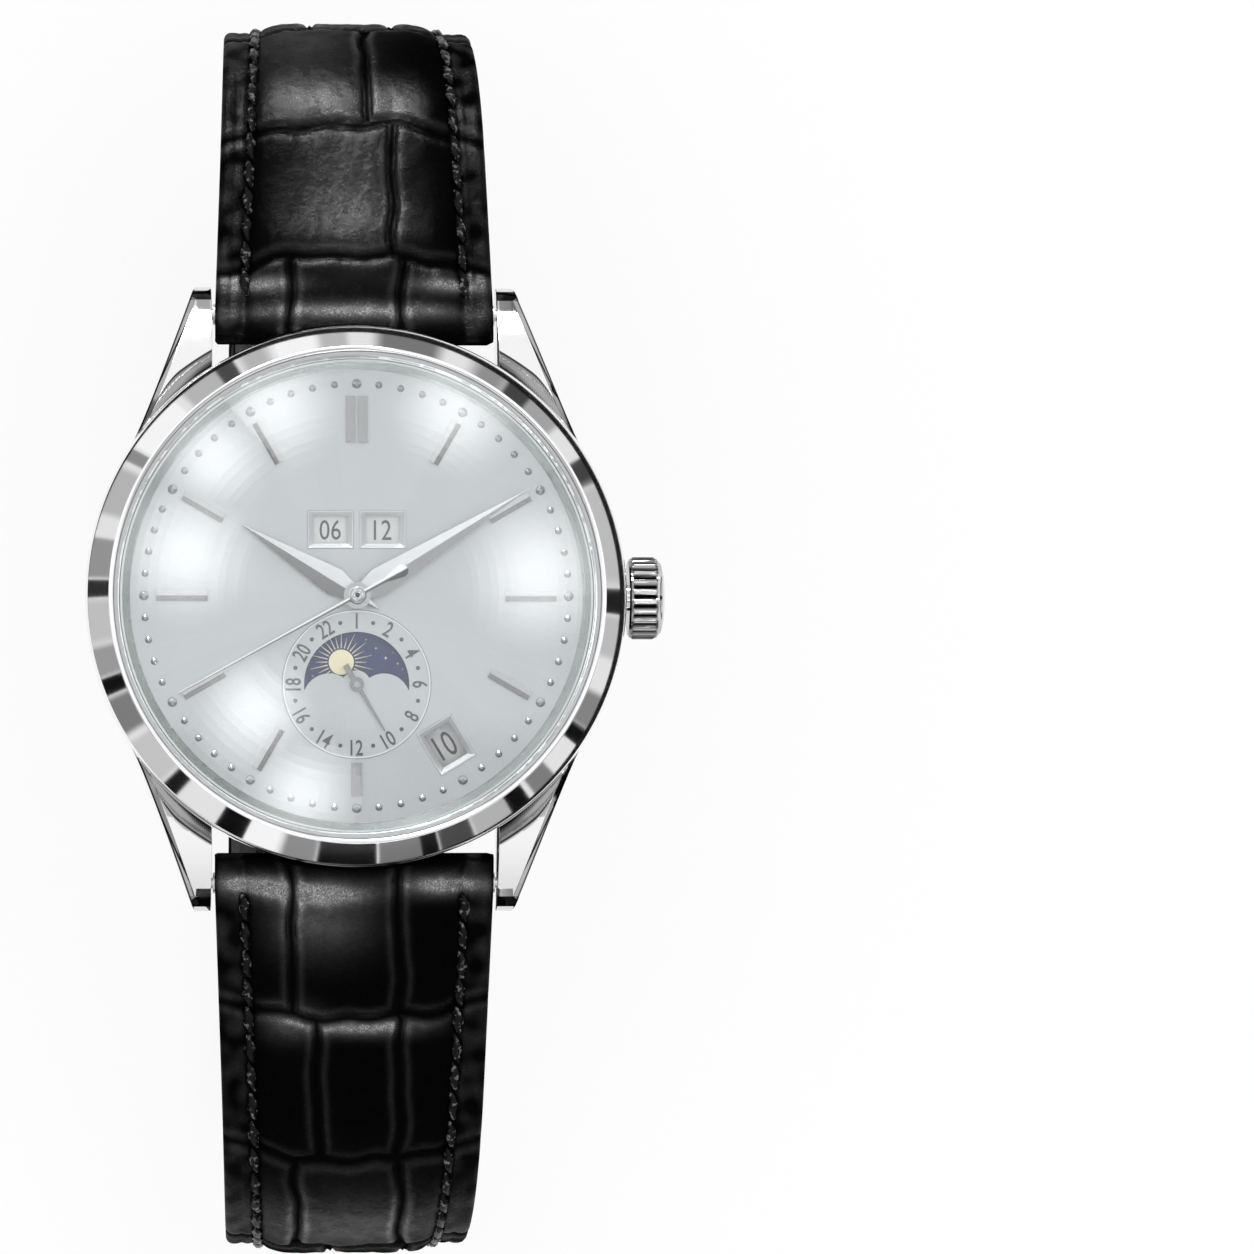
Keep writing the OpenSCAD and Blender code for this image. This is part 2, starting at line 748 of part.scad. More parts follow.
minute_phase = mesh(0, cannon_teeth, minute_teeth, works_a);
hour_phase = mesh(0, minute_pinion_teeth, hour_teeth, works_a + 180);
idler_dir = atan2(idler_c[1], idler_c[0]);
idler_phase = mesh(hour_phase, hour_teeth, idler_teeth, idler_dir);
night_dir = atan2(small_c[1] - idler_c[1], small_c[0] - idler_c[0]);
night_phase = mesh(idler_phase, idler_teeth, night_teeth, night_dir);
stud_r = 0.17;

module cannon_pinion() {
    foot_z = works_z + 0.04;
    teeth_t = 0.14;
    color("silver") difference() {
        translate([0, 0, foot_z]) {
            gear(cannon_teeth, works_m, teeth_t);
            translate([0, 0, teeth_t])
                cylinder(r = cannon_tube_r, h = minute_z + hand_t + 0.02 - foot_z - teeth_t);
        }
        cylinder(r = centre_tube_r + run_gap, h = 20);
    }
}

module minute_wheel() {
    color("gold") at(minute_c, works_z + 0.05) {
        gear(minute_teeth, works_m, 0.12, minute_phase, stud_r + run_gap);
        translate([0, 0, 0.12]) gear(minute_pinion_teeth, works_m, 0.3, 0, stud_r + run_gap);
    }
}

module hour_wheel() {
    wheel_z = works_z + 0.27;
    color("gold") translate([0, 0, wheel_z]) difference() {
        union() {
            gear(hour_teeth, works_m, 0.16, hour_phase);
            cylinder(r = hour_tube_r, h = hour_z + hand_t + 0.02 - wheel_z);
        }
        translate([0, 0, -cut]) cylinder(r = cannon_tube_r + seat_gap, h = 20);
    }
}

module idler_wheel() {
    color("gold") at(idler_c, works_z + 0.25)
        gear(idler_teeth, works_m, 0.2, idler_phase, stud_r + run_gap);
}

module day_night_wheel() {
    wheel_z = works_z + 0.27;
    color("gold") at(small_c, wheel_z) difference() {
        union() {
            gear(night_teeth, works_m, 0.16, night_phase);
            cylinder(r = 0.28, h = night_z - wheel_z);
            cylinder(r = night_post_r, h = night_z + night_t + 0.01 - wheel_z);
            translate([0, 0, 0.16]) cylinder(r = 0.6, h = 0.2);
        }
        translate([0, 0, -cut]) cylinder(r = 0.12 + run_gap, h = cut + 0.8);
    }
}

/* Plates */

pillar_angles = [20, 100, 150, 205, 262];
pillar_at_r = 12.7;
screw_r = 0.3;
cock_foot_r = 13.75;
cock_dir = atan2(balance_c[1], balance_c[0]);

module pivot_holes() {
    for (c = [third_c, escape_c, fork_c, balance_c]) at(c, -cut) cylinder(r = pivot_r + run_gap, h = 20);
}

// Slot in a plate for the clutch wheel and the winding pinion.
module keyless_slot(z, t) {
    slot_w = 3.1;
    end_gap = 0.15;
    translate([clutch_x - end_gap, -slot_w / 2, z - cut])
        cube([pinion_x + pinion_t + 2 * end_gap - clutch_x, slot_w, t + 2 * cut]);
}

module main_plate() {
    color("tan") difference() {
        union() {
            translate([0, 0, plate_z]) cylinder(r = plate_r, h = plate_t);
            translate([0, 0, works_z]) ring(date_in_r - 0.1, date_in_r - 0.4, 0.35);
            for (a = pillar_angles) at(polar(a, pillar_at_r), train_z) cylinder(r = 0.85, h = train_h);
            at(polar(cock_dir, cock_foot_r), train_z - 0.35) cylinder(r = 0.45, h = train_h + 0.35);
            translate([bearing_x, -1.1, train_z + 0.03]) cube([bearing_len, 2.2, train_h]);
            translate([stem_pivot_x + 0.2, -0.6, train_z + 0.03]) cube([1.2, 1.2, train_h]);
            at(minute_c, works_z) cylinder(r = stud_r, h = 0.55);
            at(idler_c, works_z) cylinder(r = stud_r, h = 0.55);
            at(small_c, works_z) cylinder(r = 0.12, h = 0.9);
            for (s = [-1, 1]) at([s * week_disc_c[0], week_disc_c[1]], works_z) {
                cylinder(r = 0.8, h = week_disc_z - works_z - 0.03);
                cylinder(r = 0.4 - run_gap, h = week_disc_z - works_z + 0.13);
            }
        }
        cylinder(r = centre_tube_r + seat_gap, h = 20);
        pivot_holes();
        at(barrel_c, -cut) cylinder(r = 0.5 + run_gap, h = 20);
        for (a = pillar_angles) at(polar(a, pillar_at_r), train_z - cut)
            cylinder(r = screw_r + run_gap, h = cut + 1.2);
        along_x(bearing_x - cut, stem_z) cylinder(r = stem_r + seat_gap, h = bearing_len + 2 * cut);
        along_x(stem_pivot_x, stem_z) cylinder(r = stem_pivot_r + seat_gap, h = 2);
        keyless_slot(plate_z, plate_t);
    }
}

module train_bridge() {
    color("lightgray") difference() {
        union() {
            translate([0, 0, bridge_z]) cylinder(r = plate_r - 0.2, h = bridge_t);
            translate([0, 0, rotor_z + 0.15]) cylinder(r = post_r, h = bridge_z - rotor_z - 0.15);
            at(crown_wheel_c, wind_z - 0.05) cylinder(r = 0.7, h = 0.4);
            at(reverser_c, wind_z - 0.1) cylinder(r = 0.3, h = 0.45);
            at(click_c, wind_z - 0.05) cylinder(r = 0.3, h = 0.4);
        }
        at(balance_c, bridge_z - cut) cylinder(r = balance_r + 0.6, h = 2);
        at(polar(cock_dir, cock_foot_r), bridge_z - cut) cylinder(r = 1.6, h = 2);
        keyless_slot(bridge_z, bridge_t);
        for (c = [third_c, escape_c]) at(c, bridge_z - cut) cylinder(r = pivot_r + run_gap, h = 2);
        at([0, 0], bridge_z + 0.2) cylinder(r = pivot_r + run_gap, h = 2);
        at(barrel_c, bridge_z - cut) cylinder(r = 0.5 + run_gap, h = 2);
        for (a = pillar_angles) at(polar(a, pillar_at_r), bridge_z - cut) {
            cylinder(r = screw_r + run_gap, h = 2);
            cylinder(r = 0.65, h = cut + 0.35);
        }
        translate([0, 0, rotor_z - cut]) cylinder(r = 0.2 + run_gap, h = cut + 0.9);
    }
}

module balance_cock() {
    t = 0.4;
    color("lightgray") difference() {
        at([0, 0], train_z - 0.35 - t) linear_extrude(height = t) hull() {
            translate(balance_c) circle(r = 1.1, $fn = 32);
            translate(polar(cock_dir, cock_foot_r)) circle(r = 0.8, $fn = 32);
            translate(polar(cock_dir + 4, cock_foot_r - 0.1)) circle(r = 0.6, $fn = 32);
        }
        at(balance_c, bridge_z - cut) cylinder(r = pivot_r + run_gap, h = 2);
    }
}

module bridge_screws() {
    head_r = 0.6;
    slot_w = 0.14;
    color("steelblue") for (a = pillar_angles) at(polar(a, pillar_at_r), bridge_z + 0.03) rotate(a * 3)
        difference() {
            union() {
                cylinder(r = head_r, h = 0.3);
                cylinder(r = screw_r, h = bridge_t + 0.95);
            }
            translate([-1, -slot_w / 2, -cut]) cube([2, slot_w, cut + 0.1]);
        }
}

/* Gear train */

barrel_z = train_z + 0.25;
barrel_h = 1.05;

module barrel() {
    wall = 0.3;
    color("khaki") at(barrel_c, barrel_z) difference() {
        union() {
            cylinder(r = drum_r, h = barrel_h);
            translate([0, 0, barrel_h - 0.2])
                gear(barrel_teeth, barrel_m, 0.2, mesh(0, centre_pinion_teeth, barrel_teeth, barrel_a));
        }
        translate([0, 0, 0.15]) cylinder(r = drum_r - wall, h = barrel_h - 0.3);
        translate([0, 0, -cut]) cylinder(r = 0.5 + run_gap, h = 3);
    }
}

// Spiral of one flat ribbon, thin steel, wound from the arbor to the drum's wall.
module spiral(r0, r1, turns, t, h) {
    steps = 24;
    n = turns * steps;
    function edge(i, off) = polar(360 * i / steps, r0 + (r1 - r0) * i / n + off);
    linear_extrude(height = h)
        polygon(concat([for (i = [0:n]) edge(i, -t / 2)], [for (i = [n:-1:0]) edge(i, t / 2)]));
}

module mainspring() {
    color("slategray") at(barrel_c, barrel_z + 0.2) spiral(1.15, drum_r - 0.42, 9, 0.12, barrel_h - 0.4);
}

module barrel_arbor() {
    color("silver") at(barrel_c, 0) {
        translate([0, 0, wind_z]) cylinder(r = 0.4, h = bridge_z - wind_z + 0.1);
        translate([0, 0, bridge_z + 0.03]) cylinder(r = 0.5, h = plate_z + 0.4 - bridge_z);
        translate([0, 0, barrel_z + 0.2]) cylinder(r = 1.05, h = barrel_h - 0.4);
    }
}

centre_z = barrel_z + barrel_h + 0.1;

module centre_wheel() {
    foot_z = barrel_z + 0.65;
    color("gold") difference() {
        union() {
            translate([0, 0, centre_z])
                spoked_wheel(centre_teeth, centre_m, 0.12, 0, 0.8, centre_tube_r - 0.05);
            translate([0, 0, barrel_z + barrel_h - 0.25]) gear(centre_pinion_teeth, barrel_m, 0.36, 0);
            translate([0, 0, foot_z]) cylinder(r = centre_tube_r, h = works_z + 1.4 - foot_z);
        }
        cylinder(r = 0.2, h = 20);
    }
}

module third_wheel() {
    color("gold") at(third_c, 0) {
        translate([0, 0, train_z + 0.45])
            spoked_wheel(third_teeth, train_m, 0.12, 0, 0.7, arbor_r - 0.02);
        translate([0, 0, centre_z - 0.25])
            gear(third_pinion_teeth, centre_m, 0.4, mesh(0, centre_teeth, third_pinion_teeth, third_a));
        translate([0, 0, train_z + 0.05]) cylinder(r = arbor_r, h = train_h - 0.1);
        translate([0, 0, bridge_z + 0.1]) cylinder(r = pivot_r, h = plate_z + 0.6 - bridge_z - 0.1);
    }
}

module fourth_wheel() {
    foot_z = train_z + 0.05;
    phase = mesh(0, third_teeth, fourth_pinion_teeth, third_a - 180);
    color("gold") {
        translate([0, 0, foot_z]) spoked_wheel(fourth_teeth, train_m, 0.12, 0, 0.6, arbor_r - 0.02);
        translate([0, 0, train_z + 0.33])
            gear(fourth_pinion_teeth, train_m, 0.35, phase);
        translate([0, 0, foot_z]) cylinder(r = arbor_r, h = seconds_z + seconds_t + 0.05 - foot_z);
        translate([0, 0, bridge_z + 0.23]) cylinder(r = pivot_r, h = bridge_t);
    }
}

module escape_wheel() {
    wheel_z = train_z + 0.5;
    color("gold") at(escape_c, 0) {
        translate([0, 0, wheel_z]) linear_extrude(height = 0.15) {
            difference() {
                union() {
                    circle(r = escape_r - 0.45);
                    for (i = [0:escape_teeth - 1]) rotate(360 * i / escape_teeth) translate([escape_r, 0])
                        polygon([[-0.6, -0.12], [0, 0.1], [-0.04, 0.2], [-0.6, 0.14]]);
                }
                difference() {
                    circle(r = escape_r - 0.75);
                    circle(r = 0.5);
                    for (i = [0:3]) rotate(90 * i) translate([0, -0.1]) square([escape_r - 0.6, 0.2]);
                }
            }
        }
        translate([0, 0, train_z + 0.03])
            gear(escape_pinion_teeth, train_m, 0.35, mesh(0, fourth_teeth, escape_pinion_teeth, escape_a));
        translate([0, 0, train_z + 0.03]) cylinder(r = arbor_r, h = train_h - 0.1);
        translate([0, 0, bridge_z + 0.1]) cylinder(r = pivot_r, h = plate_z + 0.6 - bridge_z - 0.1);
    }
}

module pallet_fork() {
    arm_back = 0.66;
    arm_out = 1.3;
    foot = 0.1;
    color("silver") at(fork_c, train_z + 0.5) rotate(fork_line + 180) {
        linear_extrude(height = 0.15) {
            polygon([[0.35, -0.2], [arm_back, -arm_out], [arm_back - 0.15, -arm_out - 0.12], [-0.15, -0.3],
                     [-1.45, -0.12], [-1.6, -0.28], [-1.6, -0.16], [-1.5, 0], [-1.6, 0.16], [-1.6, 0.28],
                     [-1.45, 0.12], [-0.15, 0.3], [arm_back - 0.15, arm_out + 0.12],
                     [arm_back, arm_out], [0.35, 0.2]]);
            circle(r = 0.4);
        }
        translate([0, 0, -foot]) cylinder(r = arbor_r, h = train_h - 0.6 + foot);
        translate([0, 0, -foot]) cylinder(r = pivot_r, h = train_h + 0.1 + foot);
    }
}

module balance_wheel() {
    wheel_z = train_z + 0.1;
    color("khaki") at(balance_c, 0) {
        translate([0, 0, wheel_z]) {
            ring(balance_r, balance_r - 0.4, 0.2);
            linear_extrude(height = 0.2) for (i = [0:2]) rotate(120 * i + 20)
                translate([0, -0.15]) square([balance_r - 0.2, 0.3]);
            cylinder(r = 0.5, h = 0.2);
        }
        translate([0, 0, train_z + 0.45]) cylinder(r = 0.55, h = 0.15);
        translate([0, 0, train_z - 0.3]) cylinder(r = arbor_r, h = train_h + 0.2);
        translate([0, 0, train_z - 0.6]) cylinder(r = pivot_r, h = train_h + 1.1);
    }
}

module hairspring() color("steelblue") at(balance_c, train_z - 0.2) spiral(0.4, 2.4, 8, 0.05, 0.18);

/* Automatic works */

module rotor() {
    hub_r = bearing_r + 0.7;
    plate_h = 0.3;
    color("silver") difference() {
        union() {
            translate([0, 0, rotor_z + 0.5]) linear_extrude(height = plate_h) difference() {
                union() {
                    intersection() {
                        circle(r = rotor_r);
                        translate([-rotor_r, -rotor_r]) square([2 * rotor_r, rotor_r]);
                    }
                    circle(r = hub_r);
                }
                circle(r = bearing_r + seat_gap);
            }
            translate([0, 0, rotor_z + 0.2]) ring(hub_r, bearing_r + seat_gap, 0.95);
            translate([0, 0, rotor_z + 0.95]) ring(hub_r, post_r + 0.07, 0.2);
            translate([0, 0, rotor_z + 1.1]) gear(rotor_teeth, auto_m, 0.35, 0, post_r + 0.07);
            intersection() {
                translate([0, 0, rotor_z]) ring(rotor_r, rotor_r - 2.8, rotor_rim_h);
                translate([-rotor_r, -rotor_r, 0]) cube([2 * rotor_r, rotor_r, 10]);
            }
        }
        translate([0, 0, rotor_z - cut]) cylinder(r = post_r + 0.07, h = 3);
    }
}

module rotor_bearing() {
    color("silver") {
        translate([0, 0, rotor_z + 0.17]) ring(bearing_r, post_r + run_gap, 0.7);
        translate([0, 0, rotor_z - 0.05]) cylinder(r = 0.95, h = 0.17);
        translate([0, 0, rotor_z - 0.05]) cylinder(r = 0.2, h = 0.85);
    }
}

module reverser_wheel() {
    color("gold") at(reverser_c, wind_z - 0.05)
        gear(reverser_teeth, auto_m, 0.2, mesh(0, rotor_teeth, reverser_teeth, -90), 0.3 + run_gap);
}

/* Strap */

function strap_width(s, total, tip) =
    let (w = max(strap_end_w, strap_w - (strap_w - strap_end_w) * s / taper_len))
    let (t = (s - total + tip) / (tip + 1))
    tip > 0 && t > 0 ? w * sqrt(1 - t * t) : w;
function strap_thick(s, thin) = thin + (strap_root_t - thin) * (1 - min(1, max(0, (s - 4) / 34)));

// Section across the strap: the leather is padded in the middle, the lining is flat.
function strap_pad(s, total) = pad_h * max(0.15, min(1, 3 * (0.75 - s / total)));
function leather_section(w, t, pad) =
    let (h = w / 2, low = lining_t + 0.02 - t / 2, top = t / 2, edge = top - pad, u = min(1, h / 7))
    [[-h, low], [h, low], [h, edge - 0.25], [h - 0.25, edge], [h - 2 * u, edge],
     [h - 3.6 * u, top - 0.17 * pad], [h - 5 * u, top], [5 * u - h, top],
     [3.6 * u - h, top - 0.17 * pad], [2 * u - h, edge], [0.25 - h, edge], [-h, edge - 0.25]];
function lining_section(w, t) = let (h = w / 2 - 0.1)
    [[-h, -t / 2], [h, -t / 2], [h, lining_t - t / 2], [-h, lining_t - t / 2]];

// Skin swept through a list of rings that all have n points.
module sweep(rings) {
    n = len(rings[0]);
    m = len(rings);
    polyhedron(points = [for (r = rings) for (p = r) p],
        faces = concat([[for (j = [n - 1:-1:0]) j]], [[for (j = [0:n - 1]) (m - 1) * n + j]],
            [for (i = [0:m - 2]) for (j = [0:n - 1]) let (k = (j + 1) % n)
                for (f = [[i * n + j, i * n + k, (i + 1) * n + k],
                          [i * n + j, (i + 1) * n + k, (i + 1) * n + j]]) f]));
}

function strap_ring(steps, dir, s, section) =
    let (e = route(steps, s, [pin_y, pin_z], dir), nx = -sin(e[2]), nz = cos(e[2]))
    [for (q = section) [q[0], e[0] + q[1] * nx, e[1] + q[1] * nz]];

// Places of the sections. The leather and its lining share them, so that their faces stay together.
station_gap = 2.6;
function stations(from, to, ends) = let (last = to - ends)
    concat([from], [for (s = [station_gap:station_gap:last - 0.4]) if (s > from + 0.3) s], [last],
           ends > 0 ? [for (i = [1:5]) last + ends * i / 5] : []);

module leather(steps, dir, total, thin, from, to, tip) {
    sweep([for (s = stations(from, to, tip))
        strap_ring(steps, dir, s,
            leather_section(strap_width(s, to, tip), strap_thick(s, thin), strap_pad(s, total)))]);
}

module lining(steps, dir, thin, from, to, tip) {
    sweep([for (s = stations(from, to, tip))
        strap_ring(steps, dir, s, lining_section(strap_width(s, to, tip), strap_thick(s, thin)))]);
}

// Round bar across the strap, at a place in the plane of the strap's route.
module cross_bar(y, z, r, w) translate([0, y, z]) rotate([0, 90, 0]) cylinder(r = r, h = w, center = true);
module root_ring() cross_bar(pin_y, pin_z, root_ring_r, strap_w);
module root_bore() cross_bar(pin_y, pin_z, bar_hole_r, strap_w + 2 * cut);

tip_len = 7;
hole_first = 22;
hole_r = 0.9;
tail_end = route(long_path, long_len, [pin_y, pin_z], long_dir);

module buckle_holes() {
    for (i = [0:hole_count - 1])
        translate([0, -tail_end[0] - hole_first - hole_pitch * i, tail_end[1] - long_t / 2 - 2])
            cylinder(r = hole_r, h = long_t + 4);
}

lining_from = root_ring_r + 0.2;

module strap_12() {
    tongue_slot = tongue_w + 2 * buckle_gap;
    slot_back = 3;
    color([0.08, 0.08, 0.09]) difference() {
        union() {
            leather(short_path, short_dir, short_len, short_t, 0, short_len - 1.2, 0);
            root_ring();
            cross_bar(buckle_y, buckle_z, buckle_ring_r, strap_end_w);
        }
        root_bore();
        cross_bar(buckle_y, buckle_z, bar_hole_r, strap_w);
        translate([-tongue_slot / 2, buckle_y - slot_back, buckle_z - slot_back])
            cube([tongue_slot, slot_back + buckle_ring_r + 0.4, 2 * slot_back]);
    }
}

module strap_12_lining() {
    color([0.25, 0.2, 0.17]) lining(short_path, short_dir, short_t, lining_from, short_len - 2.4, 0);
}

module strap_6() {
    color([0.08, 0.08, 0.09]) scale([1, -1, 1]) difference() {
        union() {
            leather(long_path, long_dir, long_len, long_t, 0, long_len, tip_len);
            root_ring();
        }
        root_bore();
        scale([1, -1, 1]) buckle_holes();
    }
}

module strap_6_lining() {
    color([0.25, 0.2, 0.17]) difference() {
        scale([1, -1, 1]) lining(long_path, long_dir, long_t, lining_from, long_len, tip_len);
        buckle_holes();
    }
}

/* Buckle and keepers */

module at_buckle() translate([0, buckle_y, buckle_z]) children();

module buckle() {
    inner_w = strap_end_w + 2 * buckle_gap;
    outer_w = inner_w + 4 * buckle_wire;
    arm_end = 1.6;
    color("silver") at_buckle() difference() {
        translate([0, 0, -buckle_wire]) linear_extrude(height = 2 * buckle_wire) difference() {
            translate([0, -(buckle_len - arm_end) / 2]) offset(r = 1.5)
                square([outer_w - 3, buckle_len + arm_end - 3], center = true);
            translate([-inner_w / 2, -buckle_len + 2 * buckle_wire]) square([inner_w, buckle_len + 5]);
        }
        rotate([0, 90, 0]) cylinder(r = 0.45 + seat_gap, h = inner_w + 2, center = true);
    }
}

module buckle_bar() {
    color("silver") at_buckle() rotate([0, 90, 0]) {
        cylinder(r = bar_r, h = strap_end_w + buckle_gap, center = true);
        cylinder(r = 0.45, h = strap_end_w + 2 * buckle_gap + 1.4, center = true);
    }
}

module buckle_tongue() {
    drop = buckle_wire + 0.75;
    tip_y = -buckle_len - 0.3;
    color("silver") at_buckle() difference() {
        union() {
            rotate([0, 90, 0]) cylinder(r = 1.45, h = tongue_w, center = true);
            translate([-0.8, 0, 0]) rotate([90, 0, 90]) linear_extrude(height = 1.6)
                polygon([[0, -1.4], [0, 0.2], [-1, 0.2], [tip_y + 2.6, -drop + 0.65], [tip_y, -drop + 0.65],
                         [tip_y, -drop - 0.45], [tip_y + 2.6, -drop - 0.6]]);
        }
        rotate([0, 90, 0]) cylinder(r = bar_hole_r, h = tongue_w + 2, center = true);
    }
}

// Closed band round the buckle half, with room below it for the long half.
module keeper(s) {
    e = route(short_path, s, [pin_y, pin_z], short_dir);
    inner_w = strap_end_w + 0.4;
    top = short_t / 2 + 0.15;
    low = top + keeper_room;
    translate([0, e[0] + keeper_w / 2, e[1]]) rotate([90, 0, 0]) linear_extrude(height = keeper_w)
        difference() {
            translate([-inner_w / 2 - keeper_t, -low - keeper_t])
                square([inner_w + 2 * keeper_t, low + top + 2 * keeper_t]);
            translate([-inner_w / 2, -low]) square([inner_w, low + top]);
        }
}

module fixed_keeper() color([0.08, 0.08, 0.09]) keeper(short_len - 6);
module free_keeper() color([0.08, 0.08, 0.09]) keeper(short_len - 18);

mid_case();
bezel();
crystal();
crystal_gasket();
rehaut();
case_back();
back_window();
movement_ring();
crown_tube();
crown();
stem();
winding_pinion();
clutch_wheel();
crown_wheel();
ratchet_wheel();
click();
spring_bars();
dial();
window_frames();
hour_markers();
minute_dots();
hour_hand();
minute_hand();
seconds_hand();
day_night_hand();
date_ring();
day_disc();
month_disc();
sun_moon_disc();
cannon_pinion();
minute_wheel();
hour_wheel();
idler_wheel();
day_night_wheel();
main_plate();
train_bridge();
balance_cock();
bridge_screws();
barrel();
mainspring();
barrel_arbor();
centre_wheel();
third_wheel();
fourth_wheel();
escape_wheel();
pallet_fork();
balance_wheel();
hairspring();
rotor();
rotor_bearing();
reverser_wheel();
strap_12();
strap_12_lining();
strap_6();
strap_6_lining();
buckle();
buckle_tongue();
buckle_bar();
fixed_keeper();
free_keeper();
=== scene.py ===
# %% [markdown]
# # An automatic watch on a padded strap
# The wheels, the case and the hands of this watch come as solids in one frame. They are made elsewhere and
# packed with their joints. This lesson adds what makes them look real: light, polished metal, a domed
# glass, printed dials and a padded leather strap. All sizes are in millimetres until a mesh is finished.

import math

import bmesh
import bpy
from mathutils import Matrix, Vector, noise


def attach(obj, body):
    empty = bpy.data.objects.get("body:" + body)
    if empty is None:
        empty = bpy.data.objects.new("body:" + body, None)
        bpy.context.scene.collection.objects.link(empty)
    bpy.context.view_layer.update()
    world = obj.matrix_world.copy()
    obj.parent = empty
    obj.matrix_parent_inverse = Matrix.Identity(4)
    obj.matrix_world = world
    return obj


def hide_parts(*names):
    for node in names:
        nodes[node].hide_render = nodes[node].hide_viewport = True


MM = 0.001
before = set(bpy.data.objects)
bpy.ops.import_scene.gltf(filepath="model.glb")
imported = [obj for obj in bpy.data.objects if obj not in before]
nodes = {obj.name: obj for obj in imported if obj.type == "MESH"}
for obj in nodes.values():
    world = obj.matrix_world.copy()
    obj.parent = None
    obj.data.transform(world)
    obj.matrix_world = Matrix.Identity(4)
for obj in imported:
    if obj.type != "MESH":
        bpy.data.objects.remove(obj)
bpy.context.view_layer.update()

# %% [markdown]
# The watch is seen almost straight from above, with twelve o'clock up, and it stands left of the middle
# of a square picture. A long lens keeps its circles round. The camera first looks at the watch, and a
# small turn then moves the watch to its place in the picture, so no lens shift is needed.

# %% Camera
PICTURE = 1254
WATCH_AT_PX = (355.0, 597.5)
LENS_PX = 8395.0
SENSOR = 36

watch_centre = Vector((0, 0, 5)) * MM
eye = Vector((-26, -24, 605)) * MM
camera_data = bpy.data.cameras.new("camera")
camera_data.sensor_width = SENSOR
camera_data.lens = LENS_PX * SENSOR / PICTURE
camera_data.clip_start = 10 * MM
camera = bpy.data.objects.new("camera", camera_data)
bpy.context.scene.collection.objects.link(camera)
bpy.context.scene.camera = camera

off_axis = Vector((WATCH_AT_PX[0] - PICTURE / 2, PICTURE / 2 - WATCH_AT_PX[1], -LENS_PX))
backward = (eye - watch_centre).normalized()
rightward = Vector((0, 1, 0)).cross(backward).normalized()
aim = Matrix((rightward, backward.cross(rightward), backward)).transposed().to_quaternion()
camera.rotation_mode = "QUATERNION"
camera.rotation_quaternion = aim @ off_axis.rotation_difference(Vector((0, 0, -1)))
camera.location = eye
bpy.context.scene.view_settings.view_transform = "Standard"
print("lens", round(camera_data.lens, 1), "mm")

# %% [markdown]
# A finish is a node tree, and most of its nodes are sums. Written as Python, a sum is one line: a Term
# wraps a socket, and each operator on it adds a Math node. Every other node comes from Tree.node, which
# takes the node's type, its inputs by name or number, and its settings.

# %% Terms of a shader sum
def feed(socket, value):
    """Links a term to a socket, or sets the socket to a plain value."""
    if isinstance(value, Term):
        socket.id_data.links.new(value.socket, socket)
    else:
        socket.default_value = (*value, 1) if socket.type == "RGBA" else value


def operator(operation, swapped=False):
    """The method behind a Python operator. A swapped one has its term on the right."""
    def method(term, other):
        return term.fn(operation, first=other) if swapped else term.fn(operation, other)
    return method


class Term:
    """One socket of a node tree that can be added, multiplied and so on."""

    def __init__(self, socket):
        self.socket = socket

    def fn(self, operation, *others, first=None):
        """A Math node on this term. The term itself is its first value, unless first is given."""
        math_node = self.socket.id_data.nodes.new("ShaderNodeMath")
        math_node.operation = operation
        values = [self, *others] if first is None else [first, self]
        for value, socket in zip(values, math_node.inputs):
            feed(socket, value)
        return Term(math_node.outputs[0])

    __add__ = __radd__ = operator("ADD")
    __mul__ = __rmul__ = operator("MULTIPLY")
    __sub__, __rsub__ = operator("SUBTRACT"), operator("SUBTRACT", swapped=True)
    __truediv__, __rtruediv__ = operator("DIVIDE"), operator("DIVIDE", swapped=True)
    __pow__ = operator("POWER")


# %% Trees and finishes
WHITE = (1, 1, 1)


class Tree:
    """A node tree whose nodes are added one call at a time."""

    def __init__(self, tree):
        self.tree = tree

    def node(self, kind, inputs, output=0, **settings):
        made = self.tree.nodes.new("ShaderNode" + kind)
        for name, value in settings.items():
            setattr(made, name, value)
        for name, value in inputs.items():
            feed(made.inputs[name], value)
        return Term(made.outputs[output])

    def parts(self, vector):
        return [Term(out) for out in self.node("SeparateXYZ", {0: vector}).socket.node.outputs]

    def fade(self, value, low, high, kind="SMOOTHSTEP"):
        """Goes from 0 to 1 as the value goes from low to high, in a soft curve or a straight line."""
        return self.node("MapRange", {"Value": value, "From Min": low, "From Max": high},
                         interpolation_type=kind)

    def glow(self, strength, colour=WHITE):
        return self.node("Emission", {"Color": colour, "Strength": strength})

    def clear(self, tint=WHITE):
        return self.node("BsdfTransparent", {"Color": tint})

    def blend(self, factor, a, b):
        """Shader that goes from a to b as factor goes from 0 to 1."""
        return self.node("MixShader", {0: factor, 1: a, 2: b})


